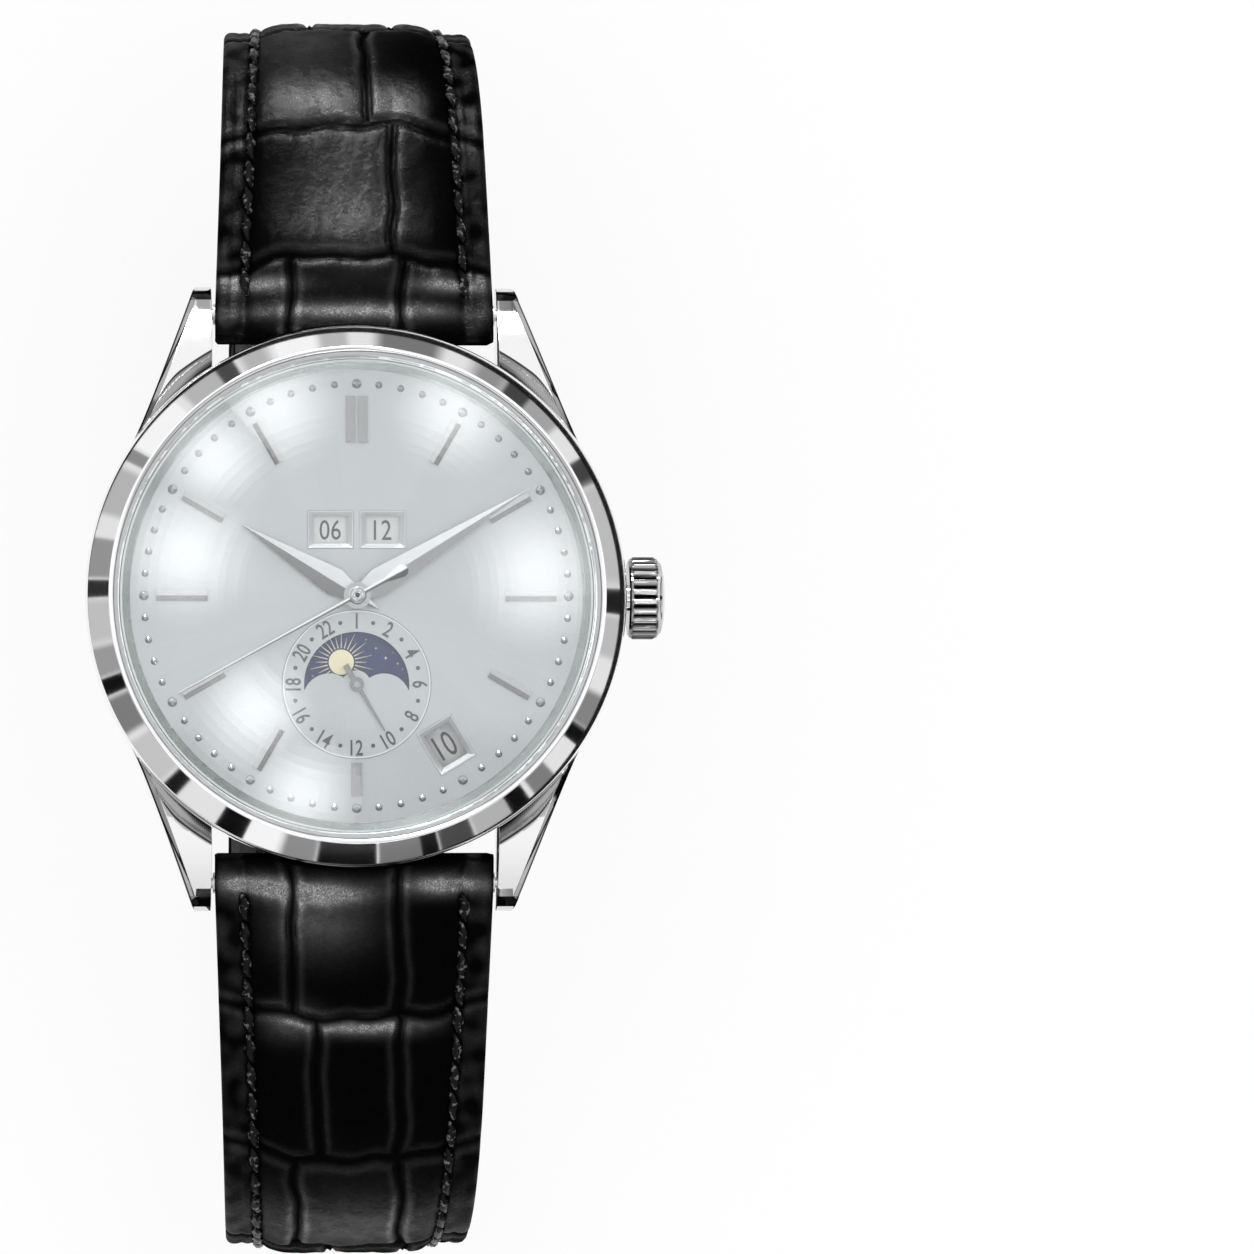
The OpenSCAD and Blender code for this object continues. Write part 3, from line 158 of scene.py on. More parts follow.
class Finish(Tree):
    """A material that starts as a Principled shader. Its patterns are laid out in millimetres."""

    def __init__(self, name, colour=WHITE, metallic=0.0, roughness=0.5, **sockets):
        self.material = bpy.data.materials.new(name)
        self.material.use_nodes = True
        super().__init__(self.material.node_tree)
        self.shader = self.tree.nodes["Principled BSDF"]
        self.set({"Base Color": colour, "Metallic": metallic, "Roughness": roughness})
        self.set({socket.replace("_", " "): value for socket, value in sockets.items()})

    def set(self, values):
        for name, value in values.items():
            feed(self.shader.inputs[name], value)

    def place(self, centre=(0, 0, 0), stretch=(1, 1, 1), turn=0.0):
        """Object coordinates in millimetres, measured from centre, stretched and turned about Z."""
        scale = [factor / MM for factor in stretch]
        moved = [-c * factor for c, factor in zip(centre, stretch)]
        spot = self.node("TexCoord", {}, output="Object")
        shifted = self.node("Mapping", {"Vector": spot, "Location": moved, "Scale": scale})
        return self.node("Mapping", {"Vector": shifted, "Rotation": (0, 0, turn)}) if turn else shifted

    def direction(self):
        """The way out from the Z axis, a vector of length 1."""
        x, y, _ = self.parts(self.place())
        return self.node("VectorMath", {0: self.node("CombineXYZ", {0: x, 1: y})}, operation="NORMALIZE")

    def noise(self, vector, scale, detail=3.0, roughness=0.5):
        return self.node("TexNoise", {"Vector": vector, "Scale": scale, "Detail": detail,
                                      "Roughness": roughness})

    def mix(self, factor, a, b):
        """Colour that goes from a to b as factor goes from 0 to 1."""
        return self.node("Mix", {0: factor, 6: a, 7: b}, output=2, data_type="RGBA")

    def bump(self, height, depth):
        """Relief of the given depth in millimetres, for a height that runs from 0 to 1."""
        bumped = self.node("Bump", {"Height": height, "Distance": depth * MM, "Strength": 1.0})
        self.set({"Normal": bumped})
        return bumped

    def output(self, surface, alone=True):
        """Shows another shader than the Principled one, which goes unless it is part of it."""
        feed(self.tree.nodes["Material Output"].inputs["Surface"], surface)
        if alone:
            self.tree.nodes.remove(self.shader)
        return self


def grained(name, colour, metallic, roughness, spread, scale):
    """A finish whose roughness goes up by the spread over a fine grain."""
    finish = Finish(name, colour, metallic)
    finish.set({"Roughness": roughness + spread * finish.noise(finish.place(), scale)})
    return finish


print("finishes are ready")

# %% [markdown]
# A mesh is shaped in millimetres with bmesh operators. One helper then scales it to metres, marks its sharp
# edges and makes it a piece of the watch: it rides on a body, takes its finish and stands for the solids that
# it replaces.

# %% Pieces
def mesh_object(name, bm, finish=None, sharp=32):
    mesh = bpy.data.meshes.new(name)
    bmesh.ops.scale(bm, vec=(MM, MM, MM), verts=bm.verts)
    bm.to_mesh(mesh)
    bm.free()
    mesh.shade_smooth()
    mesh.set_sharp_from_angle(angle=math.radians(sharp))
    if finish:
        mesh.materials.append(finish.material)
    made = bpy.data.objects.new(name, mesh)
    bpy.context.scene.collection.objects.link(made)
    return made


def piece(name, bm, finish, body, replaces=(), sharp=32):
    made = mesh_object(name, bm, finish, sharp)
    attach(made, body)
    if replaces:
        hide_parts(*replaces)
    print(name, len(made.data.polygons), "faces on", body)
    return made


def dress(finish, *names):
    """Gives CAD solids a finish."""
    for name in names:
        for place in nodes[name].material_slots:
            place.material = finish.material


# %% [markdown]
# Most parts of a watch are turned, so two helpers give points on a circle and spin an outline as on a lathe.
# Others add a rod or a tube cut into rings, lay a shape in its place, and ease its edges as a polishing
# wheel does.

# %% Shapes
def polar(degrees, radius, centre=(0, 0)):
    """The point (x, y) of a circle about centre, at an angle from the X axis."""
    angle = math.radians(degrees)
    return centre[0] + radius * math.cos(angle), centre[1] + radius * math.sin(angle)


def placed(place, degrees=0, axis="Z"):
    """The matrix that turns a shape about an axis and moves it to its place."""
    return Matrix.Translation(place) @ Matrix.Rotation(math.radians(degrees), 4, axis)


def laid(bm, place, degrees=0, axis="Z"):
    bmesh.ops.transform(bm, matrix=placed(place, degrees, axis), verts=bm.verts)
    return bm


def outwards(bm):
    """Turns the faces of a closed shape outwards."""
    bmesh.ops.recalc_face_normals(bm, faces=bm.faces)
    return bm


def turned(outline, steps):
    """A ring spun about the Z axis from its closed outline of (radius, height) points."""
    bm = bmesh.new()
    corners = [bm.verts.new((r, 0, z)) for r, z in outline]
    sides = [bm.edges.new(pair) for pair in zip(corners, corners[1:] + corners[:1])]
    bmesh.ops.spin(bm, geom=corners + sides, cent=(0, 0, 0), axis=(0, 0, 1),
                   angle=math.tau, steps=steps, use_merge=True)
    bmesh.ops.remove_doubles(bm, verts=bm.verts, dist=1e-4)
    return outwards(bm)


def rod(bm, radius, length, place, around, end=None):
    """Adds a capped rod along the Z axis of a matrix. It tapers where its end has another radius."""
    bmesh.ops.create_cone(bm, cap_ends=True, segments=around, radius1=radius,
                          radius2=radius if end is None else end, depth=length, matrix=place)
    return bm


def tube(rings, around):
    """A capped rod, 1 high and 1 in radius, cut into the given number of rings."""
    bm = rod(bmesh.new(), 1, 1, placed((0, 0, 0.5)), around)
    upright = [e for e in bm.edges if abs(e.verts[0].co.z - e.verts[1].co.z) > 0.5]
    bmesh.ops.subdivide_edges(bm, edges=upright, cuts=rings - 1, use_grid_fill=True)
    return bm


def bevel(bm, edges, width, segments, clamp=False):
    bmesh.ops.bevel(bm, geom=edges, offset=width, offset_type="OFFSET", segments=segments, profile=0.5,
                    affect="EDGES", clamp_overlap=clamp, material=-1)


def ease(bm, width, corner, segments):
    """Bevels every edge whose faces meet at more than the corner angle."""
    sharp = [e for e in bm.edges if e.calc_face_angle(0) > math.radians(corner)]
    bevel(bm, sharp, width, segments, clamp=True)
    return bm


def verts_of(result):
    return [g for g in result["geom"] if isinstance(g, bmesh.types.BMVert)]


print("helpers are ready")

# %% [markdown]
# ## The studio
# Polished steel shows only what stands round it. The sloped bezel looks outwards and a little down, so its
# light and dark bands are cards that stand in a ring on the floor. The soft round lights in the domed
# glass are small lamps overhead: each is found by mirroring the camera's line of sight in the dome.
# The floor and the sky are white for the camera, and the floor keeps part of the shadow. From below the
# floor is clear, so that the back of the watch can be looked at.

# %% World
SKY_LEVEL = 0.86

world = bpy.data.worlds.new("studio")
bpy.context.scene.world = world
world.use_nodes = True
sky = Tree(world.node_tree)
sky.tree.nodes.clear()
camera_ray, glossy_ray, clear_ray = (sky.node("LightPath", {}, output=ray) for ray in
                                     ("Is Camera Ray", "Is Glossy Ray", "Is Transmission Ray"))
seen = camera_ray.fn("MAXIMUM", glossy_ray).fn("MAXIMUM", clear_ray)
_, toward_12, upward = sky.parts(sky.node("TexCoord", {}, output="Generated"))

# %% [markdown]
# The hands and markers need a dark side. A grey card hangs overhead, a little towards six o'clock, so that
# facets which lean that way turn grey and those that lean to twelve o'clock stay bright.

# %% Sky that metal sees
OVERHEAD_GREY, OVERHEAD_LOW = 0.5, 0.3

overhead = sky.fade(toward_12, -0.62, -0.5) * (1 - sky.fade(toward_12, -0.2, -0.12))
grey_card = overhead * upward.fn("GREATER_THAN", OVERHEAD_LOW)
mirrored = 1 - (1 - OVERHEAD_GREY) * grey_card
shown = mirrored + camera_ray * (1 - mirrored)
background = sky.node("Background", {"Color": WHITE, "Strength": SKY_LEVEL + seen * (shown - SKY_LEVEL)})
feed(sky.tree.nodes.new("ShaderNodeOutputWorld").inputs["Surface"], background)
print("sky level", SKY_LEVEL)

# %% Floor
FLOOR_Z, FLOOR_SIZE, FLOOR_SHARE, FLOOR_GLOW = -32.62, 2500, 0.8, 1.06
PAPER = (0.93, 0.93, 0.93)

floor_finish = Finish("studio_floor")
floor_seen, floor_glossy = (floor_finish.node("LightPath", {}, output=ray) for ray in
                            ("Is Camera Ray", "Is Glossy Ray"))
floor_paper = floor_finish.node("BsdfDiffuse", {"Color": PAPER})
floor_top = floor_finish.blend(floor_seen.fn("MAXIMUM", floor_glossy) * FLOOR_SHARE, floor_paper,
                               floor_finish.glow(FLOOR_GLOW))
from_below = floor_finish.node("NewGeometry", {}, output="Backfacing")
floor_finish.output(floor_finish.blend(from_below, floor_top, floor_finish.clear()))
floor_mesh = bmesh.new()
bmesh.ops.create_grid(floor_mesh, x_segments=1, y_segments=1, size=FLOOR_SIZE)
mesh_object("floor", laid(floor_mesh, (0, 0, FLOOR_Z)), floor_finish)
print("floor at", FLOOR_Z, "mm")

# %% [markdown]
# Each card is a strip bent round the watch, given by the clock angle that it faces, its width in degrees,
# the softness of its edges and its grey. Soft edges are clear towards the sides. Diffuse light ignores the
# cards, so they shape the metal only. A low black band below them draws the dark line at each outer edge.
# The clock angle is the one at which the bezel shows the card: as the camera stands aside, the card itself
# stands up to two degrees from it.

# %% Cards round the watch
RING_R, CARD_HIGH = 150, 46
BAND_HIGH = -21.5
ALL_ROUND = 359.9
CARDS = [(12, 14, 4, 0.2), (31, 8, 5, 0.3), (38, 6, 1.5, 0.06), (45, 8, 2, 0.4), (60.5, 6, 1, 0.06),
         (75, 22, 4, 0.55), (90, 5.5, 0.4, 0.015), (98, 9, 2, 0.55), (115, 8, 2, 0.25), (121, 4, 0.4, 0.004),
         (134, 6, 1, 0.22), (141, 5, 0.6, 0.004), (148, 9, 1, 0.48), (157, 8, 1, 0.07),
         (163.3, 4, 0.4, 0.003), (170, 10, 1, 0.19), (182.2, 13.5, 0.5, 0.003), (193, 8, 2, 0.28),
         (202, 8, 1, 1.0), (209.2, 7, 0.5, 0.003), (225, 4, 1, 0.01), (233, 11, 2, 0.6), (244.5, 9, 2, 0.22),
         (251.4, 4, 0.6, 0.004), (257, 7, 2, 0.35), (266, 10, 3, 0.57), (273.2, 4, 0.5, 0.03),
         (280, 9, 1, 0.32), (295, 11, 2, 0.5),
         (303.5, 3, 0.5, 0.28), (312, 13, 1, 1.0), (325, 9, 2, 0.5), (331.3, 4.5, 1, 0.07), (338, 6, 3, 0.5),
         (347, 9, 2, 1.0), (355.5, 6, 2, 0.52)]
CARD_TURN, CARD_SHIFT, SHIFT_MOST_AT = 0.3, 1.8, 165


def card(name, clock, width, soft, grey, radius, high=CARD_HIGH):
    bm = bmesh.new()
    x, y = polar(90 - clock + width / 2, radius)
    post = [bm.verts.new((x, y, z)) for z in (FLOOR_Z + 0.5, high)]
    bmesh.ops.spin(bm, geom=post + [bm.edges.new(post)], cent=(0, 0, 0), axis=(0, 0, 1),
                   angle=math.radians(-width), steps=max(4, round(width / 3)), use_merge=False)
    finish = Finish(name)
    glow = finish.glow(1.0, (grey, grey, grey))
    if soft:
        middle_x, middle_y = polar(90 - clock, 1)
        x, y, _ = finish.parts(finish.place())
        along = x * middle_x + y * middle_y
        aside = (y * middle_x - x * middle_y).fn("ARCTAN2", along).fn("ABSOLUTE")
        edge = finish.fade(aside, math.radians(width / 2 - soft), math.radians(width / 2))
        glow = finish.blend(edge, glow, finish.clear())
    made = mesh_object(name, bm, finish.output(glow))
    made.visible_camera = made.visible_diffuse = made.visible_shadow = made.visible_transmission = False


card("card_base", 0, ALL_ROUND, 0, 0.84, RING_R + 6)
card("card_low", 0, ALL_ROUND, 0, 0.01, RING_R - 8, high=BAND_HIGH)
for number, (clock, width, soft, grey) in enumerate(CARDS):
    moved = CARD_TURN + CARD_SHIFT * math.cos(math.radians(clock - SHIFT_MOST_AT))
    card(f"card_{number}", clock - moved, width + soft, soft, grey, RING_R - number % 3)
print(len(CARDS), "cards stand round the watch")

# %% Lamps that the glass mirrors
DOME_BALL_R, DOME_TOP = 104.5, 11.7
LAMP_FAR, LAMP_LEVEL = 400, 2.9
GLINTS = [(-10.2, 9.8, 42), (-6.0, 13.4, 50), (7.0, 13.2, 50), (-12.2, 3.0, 54), (12.8, 1.6, 58),
          (-7.4, -8.2, 44), (-4.0, -14.1, 40)]


def lamp_light(name, level, soft_rim):
    """A light that is brightest in its middle. It falls to 1 at its rim."""
    finish = Finish(name)
    rise = finish.node("TexGradient", {"Vector": finish.place()}, gradient_type="SPHERICAL")
    if soft_rim:
        rise = rise * rise * (3 - 2 * rise)
    return finish.output(finish.glow(1 + rise * level))


def lamp(name, place, facing, width, length, finish):
    """A disc or long oval light that only gloss sees, turned towards the watch."""
    disc = bmesh.new()
    bmesh.ops.create_circle(disc, cap_ends=True, segments=64, radius=1)
    made = mesh_object(name, disc, finish)
    made.location = place * MM
    made.rotation_euler = facing.to_track_quat("Z", "Y").to_euler()
    made.scale = (width, length, 1)
    made.visible_camera = made.visible_shadow = made.visible_diffuse = False
    return made


round_light = lamp_light("lamp", LAMP_LEVEL, True)
ball_centre = Vector((0, 0, DOME_TOP - DOME_BALL_R))
for number, (x, y, radius) in enumerate(GLINTS):
    up = Vector((x, y, math.sqrt(DOME_BALL_R ** 2 - x * x - y * y)))
    normal = up.normalized()
    sight = (eye / MM - ball_centre - up).normalized()
    mirror = 2 * normal.dot(sight) * normal - sight
    lamp(f"lamp_{number}", ball_centre + up + LAMP_FAR * mirror, -mirror, radius, radius, round_light)

# %% [markdown]
# Black leather shows its padding only by what it mirrors. Two long lamps, low to the north and the south,
# put a shine on every fold that leans their way, and leave the flat parts black. Glass and dial would
# mirror them as a white sheet when the watch is seen from the front, so light linking leaves those out.

# %% Long lamps for the leather
LONG_LEVEL, LONG_WIDTH, LONG_DEPTH = 70, 150, 60

long_light = lamp_light("long_lamp", LONG_LEVEL, False)
unlit = bpy.data.collections.new("not_lit_by_long_lamps")
for name in ("crystal", "dial", "sun_moon_disc", "date_ring", "day_disc", "month_disc"):
    unlit.objects.link(nodes[name])
for member in unlit.collection_objects:
    member.light_linking.link_state = "EXCLUDE"
for name, place in (("lamp_north", Vector((-60, 400, 180))), ("lamp_south", Vector((40, -400, 65)))):
    long_lamp = lamp(name, place, -place, LONG_WIDTH, LONG_DEPTH, long_light)
    long_lamp.light_linking.receiver_collection = unlit
print("lamps hang round the watch")

# %% [markdown]
# ## Steel and glass
# The case, bezel and buckle are polished steel: fully metallic, nearly white, and so smooth that the cards
# show as bands. Even a good polish has faint hairlines, which a noise gives to the roughness. Satin parts are
# brushed, with longer and stronger lines from a stretched noise.

# %% Polished and satin steel
POLISHED = (0.9, 0.9, 0.91)


def steel(name, colour, roughness, spread, stretch=(1, 1, 1), depth=0.0):
    finish = Finish(name, colour, 1.0)
    lines = finish.noise(finish.place(stretch=stretch), 1.6, 4.0, 0.6)
    finish.set({"Roughness": roughness + spread * lines})
    if depth:
        finish.bump(lines, depth)
    return finish


polished = steel("polished_steel", POLISHED, 0.03, 0.05)
dress(polished, "buckle", "buckle_tongue", "crown_tube")
dress(steel("satin_steel", (0.74, 0.75, 0.77), 0.2, 0.22, (1, 14, 14), 0.004),
      "stem", "spring_bars", "buckle_bar", "winding_pinion", "clutch_wheel", "case_back")

# %% [markdown]
# The facets of markers, hands and window frames are too small to show the cards. Their colour is painted
# instead: each facet gets a painted light tone or a painted shaded tone, by how far it leans to twelve
# o'clock. The seconds hand is flat on top, so its painted light and painted shaded halves meet along its
# middle line instead.

# %% Painted light and shade on facets
for name, roughness, spread, stretch, dark, light, parts in (
        ("marker_steel", 0.08, 0.06, (6, 6, 1), 0.24, 0.56, ["hour_markers", "minute_dots"]),
        ("hour_hand_steel", 0.05, 0.05, (5, 5, 1), 0.08, 0.38, ["hour_hand"]),
        ("minute_hand_steel", 0.05, 0.05, (5, 5, 1), 0.6, 0.4, ["minute_hand"]),
        ("small_hand_steel", 0.1, 0.06, (1, 1, 1), 0.14, 0.42, ["day_night_hand"]),
        ("window_frame_steel", 0.36, 0.1, (1, 1, 1), 0.7, 0.95, ["window_frames"])):
    finish = steel(name, POLISHED, roughness, spread, stretch)
    _, leaning, _ = finish.parts(finish.node("TexCoord", {}, output="Normal"))
    # Painted light and shade: the colour goes from the shaded tone to the lit tone as the facet leans to
    # twelve o'clock.
    finish.set({"Base Color": finish.mix(finish.fade(leaning, -0.1, 0.1), (dark, dark, 1.03 * dark),
                                         (light, light, 1.02 * light))})
    dress(finish, *parts)

SECONDS_CLOCK = math.radians(241.2)
fine_steel = steel("fine_hand_steel", POLISHED, 0.1, 0.06)
east, north, _ = fine_steel.parts(fine_steel.place())
beside = north * abs(math.sin(SECONDS_CLOCK)) + east * math.cos(SECONDS_CLOCK)
# Painted light and shade: one half of the seconds hand is painted near black, the other white.
upper_half = fine_steel.fade(beside, -0.06, 0.04, "LINEAR")
fine_steel.set({"Base Color": fine_steel.mix(upper_half, (0.05, 0.05, 0.055), WHITE)})
dress(fine_steel, "seconds_hand")
print("steel is dressed")

# %% [markdown]
# Sapphire glass is clear and reflects a little more at its edge. A Transparent and a Glossy shader are
# mixed by how far the surface turns away, so light and camera pass straight through the dome.

# %% Glass
GLOSS_AHEAD = 0.075

glass = Finish("sapphire")
gloss = glass.node("BsdfGlossy", {"Color": WHITE, "Roughness": 0.0})
aslant = glass.node("LayerWeight", {"Blend": 0.5}, output="Facing")
glass.output(glass.blend(GLOSS_AHEAD + (1 - GLOSS_AHEAD) * aslant ** 5,
                         glass.clear((0.985, 0.993, 0.995)), gloss))
dress(glass, "crystal", "back_window")
dress(Finish("gasket", (0.6, 0.62, 0.63)), "crystal_gasket")
print("glass is in")

# %% [markdown]
# ## Case and lugs
# The case band is turned. Each lug is a block in the outline that it has from above, cut by planes along
# the arc of its back. A wide chamfer runs down its outer edge, all other edges are eased, and beside the
# bezel the top dips, so that the lug seems to grow out from under it. The same lug is made for all four
# corners, and mirrored where it has to be.

# %% Outline of a lug
CASE_R, BORE_R, BACK_R, SEAT_R = 19.3, 16.4, 17.6, 16.88
CASE_TOP, BACK_T, DIAL_TOP = 8.0, 1.2, 7.8
LUG_IN, LUG_REACH, LUG_TIP_Y = 10.25, 22.4, 22.1
CREST_Y, BACK_CURVE = 9.5, 20.2

foot, bow = Vector((*polar(34, CASE_R), 0)), Vector((*polar(39.4, CASE_R + 0.24), 0))
tip = Vector((LUG_IN + 1.33, LUG_TIP_Y, 0))
back_arc = [polar(a, BACK_CURVE, (CREST_Y, CASE_TOP - BACK_CURVE)) for a in range(90, 53, -3)]


def edge_share(y):
    """Share of the way along the curved outer edge at which it reaches y, a number or a shader's value."""
    a, b, c = foot.y - 2 * bow.y + tip.y, 2 * (bow.y - foot.y), foot.y - y
    return ((b * b - 4 * a * c) ** 0.5 - b) / (2 * a)


def on_curve(t, start, middle, end):
    """The curve from start to end that bends towards middle, at the share t of the way."""
    return (1 - t) ** 2 * start + 2 * t * (1 - t) * middle + t * t * end


outer_edge = [foot, *[on_curve(edge_share(y), foot, bow, tip) for y, _ in back_arc if y > foot.y + 0.5], tip]
lug_outline = [(LUG_IN, 12.6, 0), (*polar(41, 17.2), 0), *outer_edge, (LUG_IN + 1.15, LUG_REACH, 0),
               (LUG_IN, LUG_REACH, 0)]
lug_side = [*back_arc, (LUG_TIP_Y, 3.3), (LUG_REACH, 2.3), (LUG_REACH, 1.2), (LUG_TIP_Y, 0.55), (21.5, 0.25),
            (17.2, 0.85), (12.0, BACK_T)]

# %% One lug
CHAMFER, HOLLOW, HOLLOW_W = 0.42, 0.5, 1.1
SLICE, SLICES_Y, SLICES_X = 0.14, 50, 40


def smooth_step(t):
    t = min(1, max(0, t))
    return t * t * (3 - 2 * t)


def lug_block():
    bm = bmesh.new()
    base = bm.faces.new([bm.verts.new(p) for p in lug_outline])
    raised = bmesh.ops.extrude_face_region(bm, geom=[base])
    bmesh.ops.translate(bm, vec=(0, 0, CASE_TOP), verts=verts_of(raised))
    outwards(bm)
    for (y0, z0), (y1, z1) in zip(lug_side, lug_side[1:]):
        cut = bmesh.ops.bisect_plane(bm, geom=bm.verts[:] + bm.edges[:] + bm.faces[:], dist=1e-5,
                                     plane_co=(0, y0, z0), plane_no=(0, z0 - z1, y1 - y0), clear_outer=True)
        rim = [g for g in cut["geom_cut"] if isinstance(g, bmesh.types.BMEdge)]
        if rim:
            bmesh.ops.holes_fill(bm, edges=rim)
    bmesh.ops.remove_doubles(bm, verts=bm.verts, dist=1e-3)
    return bm


def is_shoulder(edge):
    """Whether an edge lies between the top and the outer side, before the tip."""
    normals = [f.normal for f in edge.link_faces]
    return (any(n.z > 0.45 for n in normals) and any(abs(n.z) < 0.1 and n.x > 0.4 for n in normals)
            and edge.calc_face_angle(0) > 0.9 and all(v.co.y < 22 for v in edge.verts))


def lug():
    bm = lug_block()
    bm.normal_update()
    bevel(bm, [e for e in bm.edges if is_shoulder(e)], CHAMFER, 1)
    ease(bm, 0.13, 24, 3)
    slices = [((0, 11 + SLICE * i, 0), (0, 1, 0)) for i in range(SLICES_Y)]
    slices += [((10.4 + SLICE * i, 0, 0), (1, 0, 0)) for i in range(SLICES_X)]
    for place, across_it in slices:
        bm.normal_update()
        around = dict.fromkeys(part for f in bm.faces if f.normal.z > 0.8 for part in (f, *f.edges, *f.verts))
        bmesh.ops.bisect_plane(bm, geom=list(around), dist=1e-5, plane_co=place, plane_no=across_it)
    for v in bm.verts:
        across_root = smooth_step((math.degrees(math.atan2(v.co.y, v.co.x)) - 33) / 22)
        gap = v.co.xy.length - CASE_R + 0.1
        dip = smooth_step(1 - gap / (HOLLOW_W * (0.25 + across_root)))
        if v.co.z > 5 and v.co.x > LUG_IN - 0.01:
            v.co.z -= HOLLOW * dip * (0.3 + across_root)
    return bm


# %% [markdown]
# The lugs' colour is painted dark where their polish would mirror the case itself, a painted reflection: in
# the hollow beside the bezel, down the chamfer and along the eased edges, which outlines each lug. Towards
# the tip the colour is painted a little darker, as shade. Each mask is made from where a point lies and how
# its face is turned, and the greys are laid over each other in turn.

# %% Finish of the lugs
lug_steel = steel("lug_steel", POLISHED, 0.03, 0.05)
fade = lug_steel.fade
lug_x, lug_y, _ = lug_steel.parts(lug_steel.place())
turned_x, _, turned_z = lug_steel.parts(lug_steel.node("NewGeometry", {}, output="True Normal"))
from_middle, from_equator, sideways = (term.fn("ABSOLUTE") for term in (lug_x, lug_y, turned_x))

from_axis = (lug_x * lug_x + lug_y * lug_y) ** 0.5
on_lug = fade(from_axis, CASE_R + 0.05, CASE_R + 0.12)
above_side = fade(turned_z, 0.04, 0.1)
chamfered = fade(sideways, 0.25, 0.45) * fade(turned_z, 0.5, 0.6)
outlined = fade(sideways, 0.3, 0.4) * (1 - fade(turned_z, 0.45, 0.6)) * above_side
end_bevel = (fade(from_equator, 21.3, 21.42) * (1 - fade(turned_z, 0.68, 0.76))
             * fade(turned_z, 0.5, 0.6) * (1 - sideways.fn("GREATER_THAN", 0.4)))
root = fade(from_middle, 15.4, 12.6)
from_band = from_axis - CASE_R - root * 0.8
on_top = turned_z.fn("GREATER_THAN", 0.5)
hollow = on_top * (1 - fade(from_band, 0.24, 0.34))
hollow_rim = on_top * fade(from_band, 0.16, 0.22) * (1 - fade(from_band, 0.3, 0.38))
by_bezel = on_top * (1 - fade(from_axis - CASE_R - 0.35 * root * root, 0.1, 0.2))
edge_x = on_curve(edge_share(from_equator.fn("MINIMUM", tip.y)), foot.x, bow.x, tip.x)
side_line = fade(from_middle - edge_x, -0.16, -0.1) * above_side
# Painted reflection and shade: the colour darkens towards the tip, and each mask lays its grey into it.
shade = POLISHED[0] * (1 - 0.25 * fade(from_equator, 17.0, LUG_REACH))
for mask, grey in ((hollow, 0.24), (hollow_rim, 0.05), (by_bezel, 0.006), (chamfered, 0.42),
                   (end_bevel, 0.03), (outlined, 0.015), (side_line, 0.015)):
    shade = shade + on_lug * mask * (grey - shade)
lug_steel.set({"Base Color": shade})

# %% Band with its cuts
STRAP_ROOM, PIN_Y, PIN_Z = 2.46, 20.4, 2.9


def joined(bm, other):
    """Adds the faces of another shape to this one."""
    scrap = bpy.data.meshes.new("scrap")
    other.to_mesh(scrap)
    other.free()
    bm.from_mesh(scrap)
    bpy.data.meshes.remove(scrap)


def carved(bm, cutter):
    """The shape less the cutter, by an exact Boolean modifier."""
    body, tool = (mesh_object("carving", shape, sharp=180) for shape in (bm, cutter))
    less = body.modifiers.new("less", "BOOLEAN")
    less.operation, less.solver, less.object = "DIFFERENCE", "EXACT", tool
    bpy.context.view_layer.update()
    result = bmesh.new()
    result.from_mesh(body.evaluated_get(bpy.context.evaluated_depsgraph_get()).to_mesh())
    bmesh.ops.scale(result, vec=(1 / MM,) * 3, verts=result.verts)
    for scrap in (body, tool):
        bpy.data.objects.remove(scrap)
    return result


BELLY_R, BELLY_Z = 1.6, 3.0
belly = [polar(a, BELLY_R, (CASE_R - BELLY_R, BELLY_Z)) for a in range(-70, 1, 14)]
band_outline = [(BORE_R, BACK_T), (BACK_R + 0.3, BACK_T), *belly, (CASE_R, CASE_TOP - 0.3),
                (CASE_R - 0.12, CASE_TOP), (SEAT_R, CASE_TOP), (SEAT_R, DIAL_TOP), (BORE_R, DIAL_TOP)]
band = ease(turned(band_outline, 192), 0.06, 30, 2)
for side in (1, -1):
    room = rod(bmesh.new(), STRAP_ROOM, 2 * LUG_IN, placed((0, side * PIN_Y, PIN_Z), 90, "Y"), 64)
    below = bmesh.new()
    bmesh.ops.create_cube(below, size=1, matrix=placed((0, side * (PIN_Y + 2.6), 1.2))
                          @ Matrix.Diagonal((2 * LUG_IN, 6, 3.4, 1)))
    band = carved(carved(band, room), below)
for sx, sy in ((1, 1), (1, -1), (-1, 1), (-1, -1)):
    corner = lug()
    bmesh.ops.scale(corner, vec=(sx, sy, 1), verts=corner.verts)
    joined(band, outwards(corner))
piece("case_and_lugs", band, lug_steel, "case", ["mid_case"], sharp=24)

# %% [markdown]
# The bezel is one broad polished slope between two eased edges. The edges are what draws the bright and the
# dark line round it.

# %% Bezel
BEZEL_R, BEZEL_FOOT, GLASS_SEAT_R = 19.2, 8.5, 17.33
bezel = turned([(SEAT_R, CASE_TOP), (BEZEL_R, CASE_TOP), (BEZEL_R, BEZEL_FOOT), (17.63, 10.3),
                (GLASS_SEAT_R, 10.22), (GLASS_SEAT_R, BEZEL_FOOT), (SEAT_R, BEZEL_FOOT)], 360)
piece("polished_bezel", ease(bezel, 0.1, 20, 4), polished, "case", ["bezel"], sharp=60)

# %% [markdown]
# The crown is turned, fluted and polished. A tube is cut into rings, and each ring gets its height, its
# radius and its share of the flutes, which run out at both chamfers. A low dome closes the end. The valleys
# of the grip are painted dark as shade, and the colour is painted darker towards the flanks that face twelve
# and six o'clock, where the crown turns away from above.

# %% Crown
CROWN_X, CROWN_R, CROWN_LEN, FLUTES = 19.6, 2.965, 2.2, 24
FLUTE_DEEP, FLUTE_STEPS, CROWN_DOME = 0.32, 12, 0.45
NECK_R, CHAMFER_R, SHOULDER_R = CROWN_R - 0.33, CROWN_R - 0.14, CROWN_R - 0.1
STEM_Z = 4.49


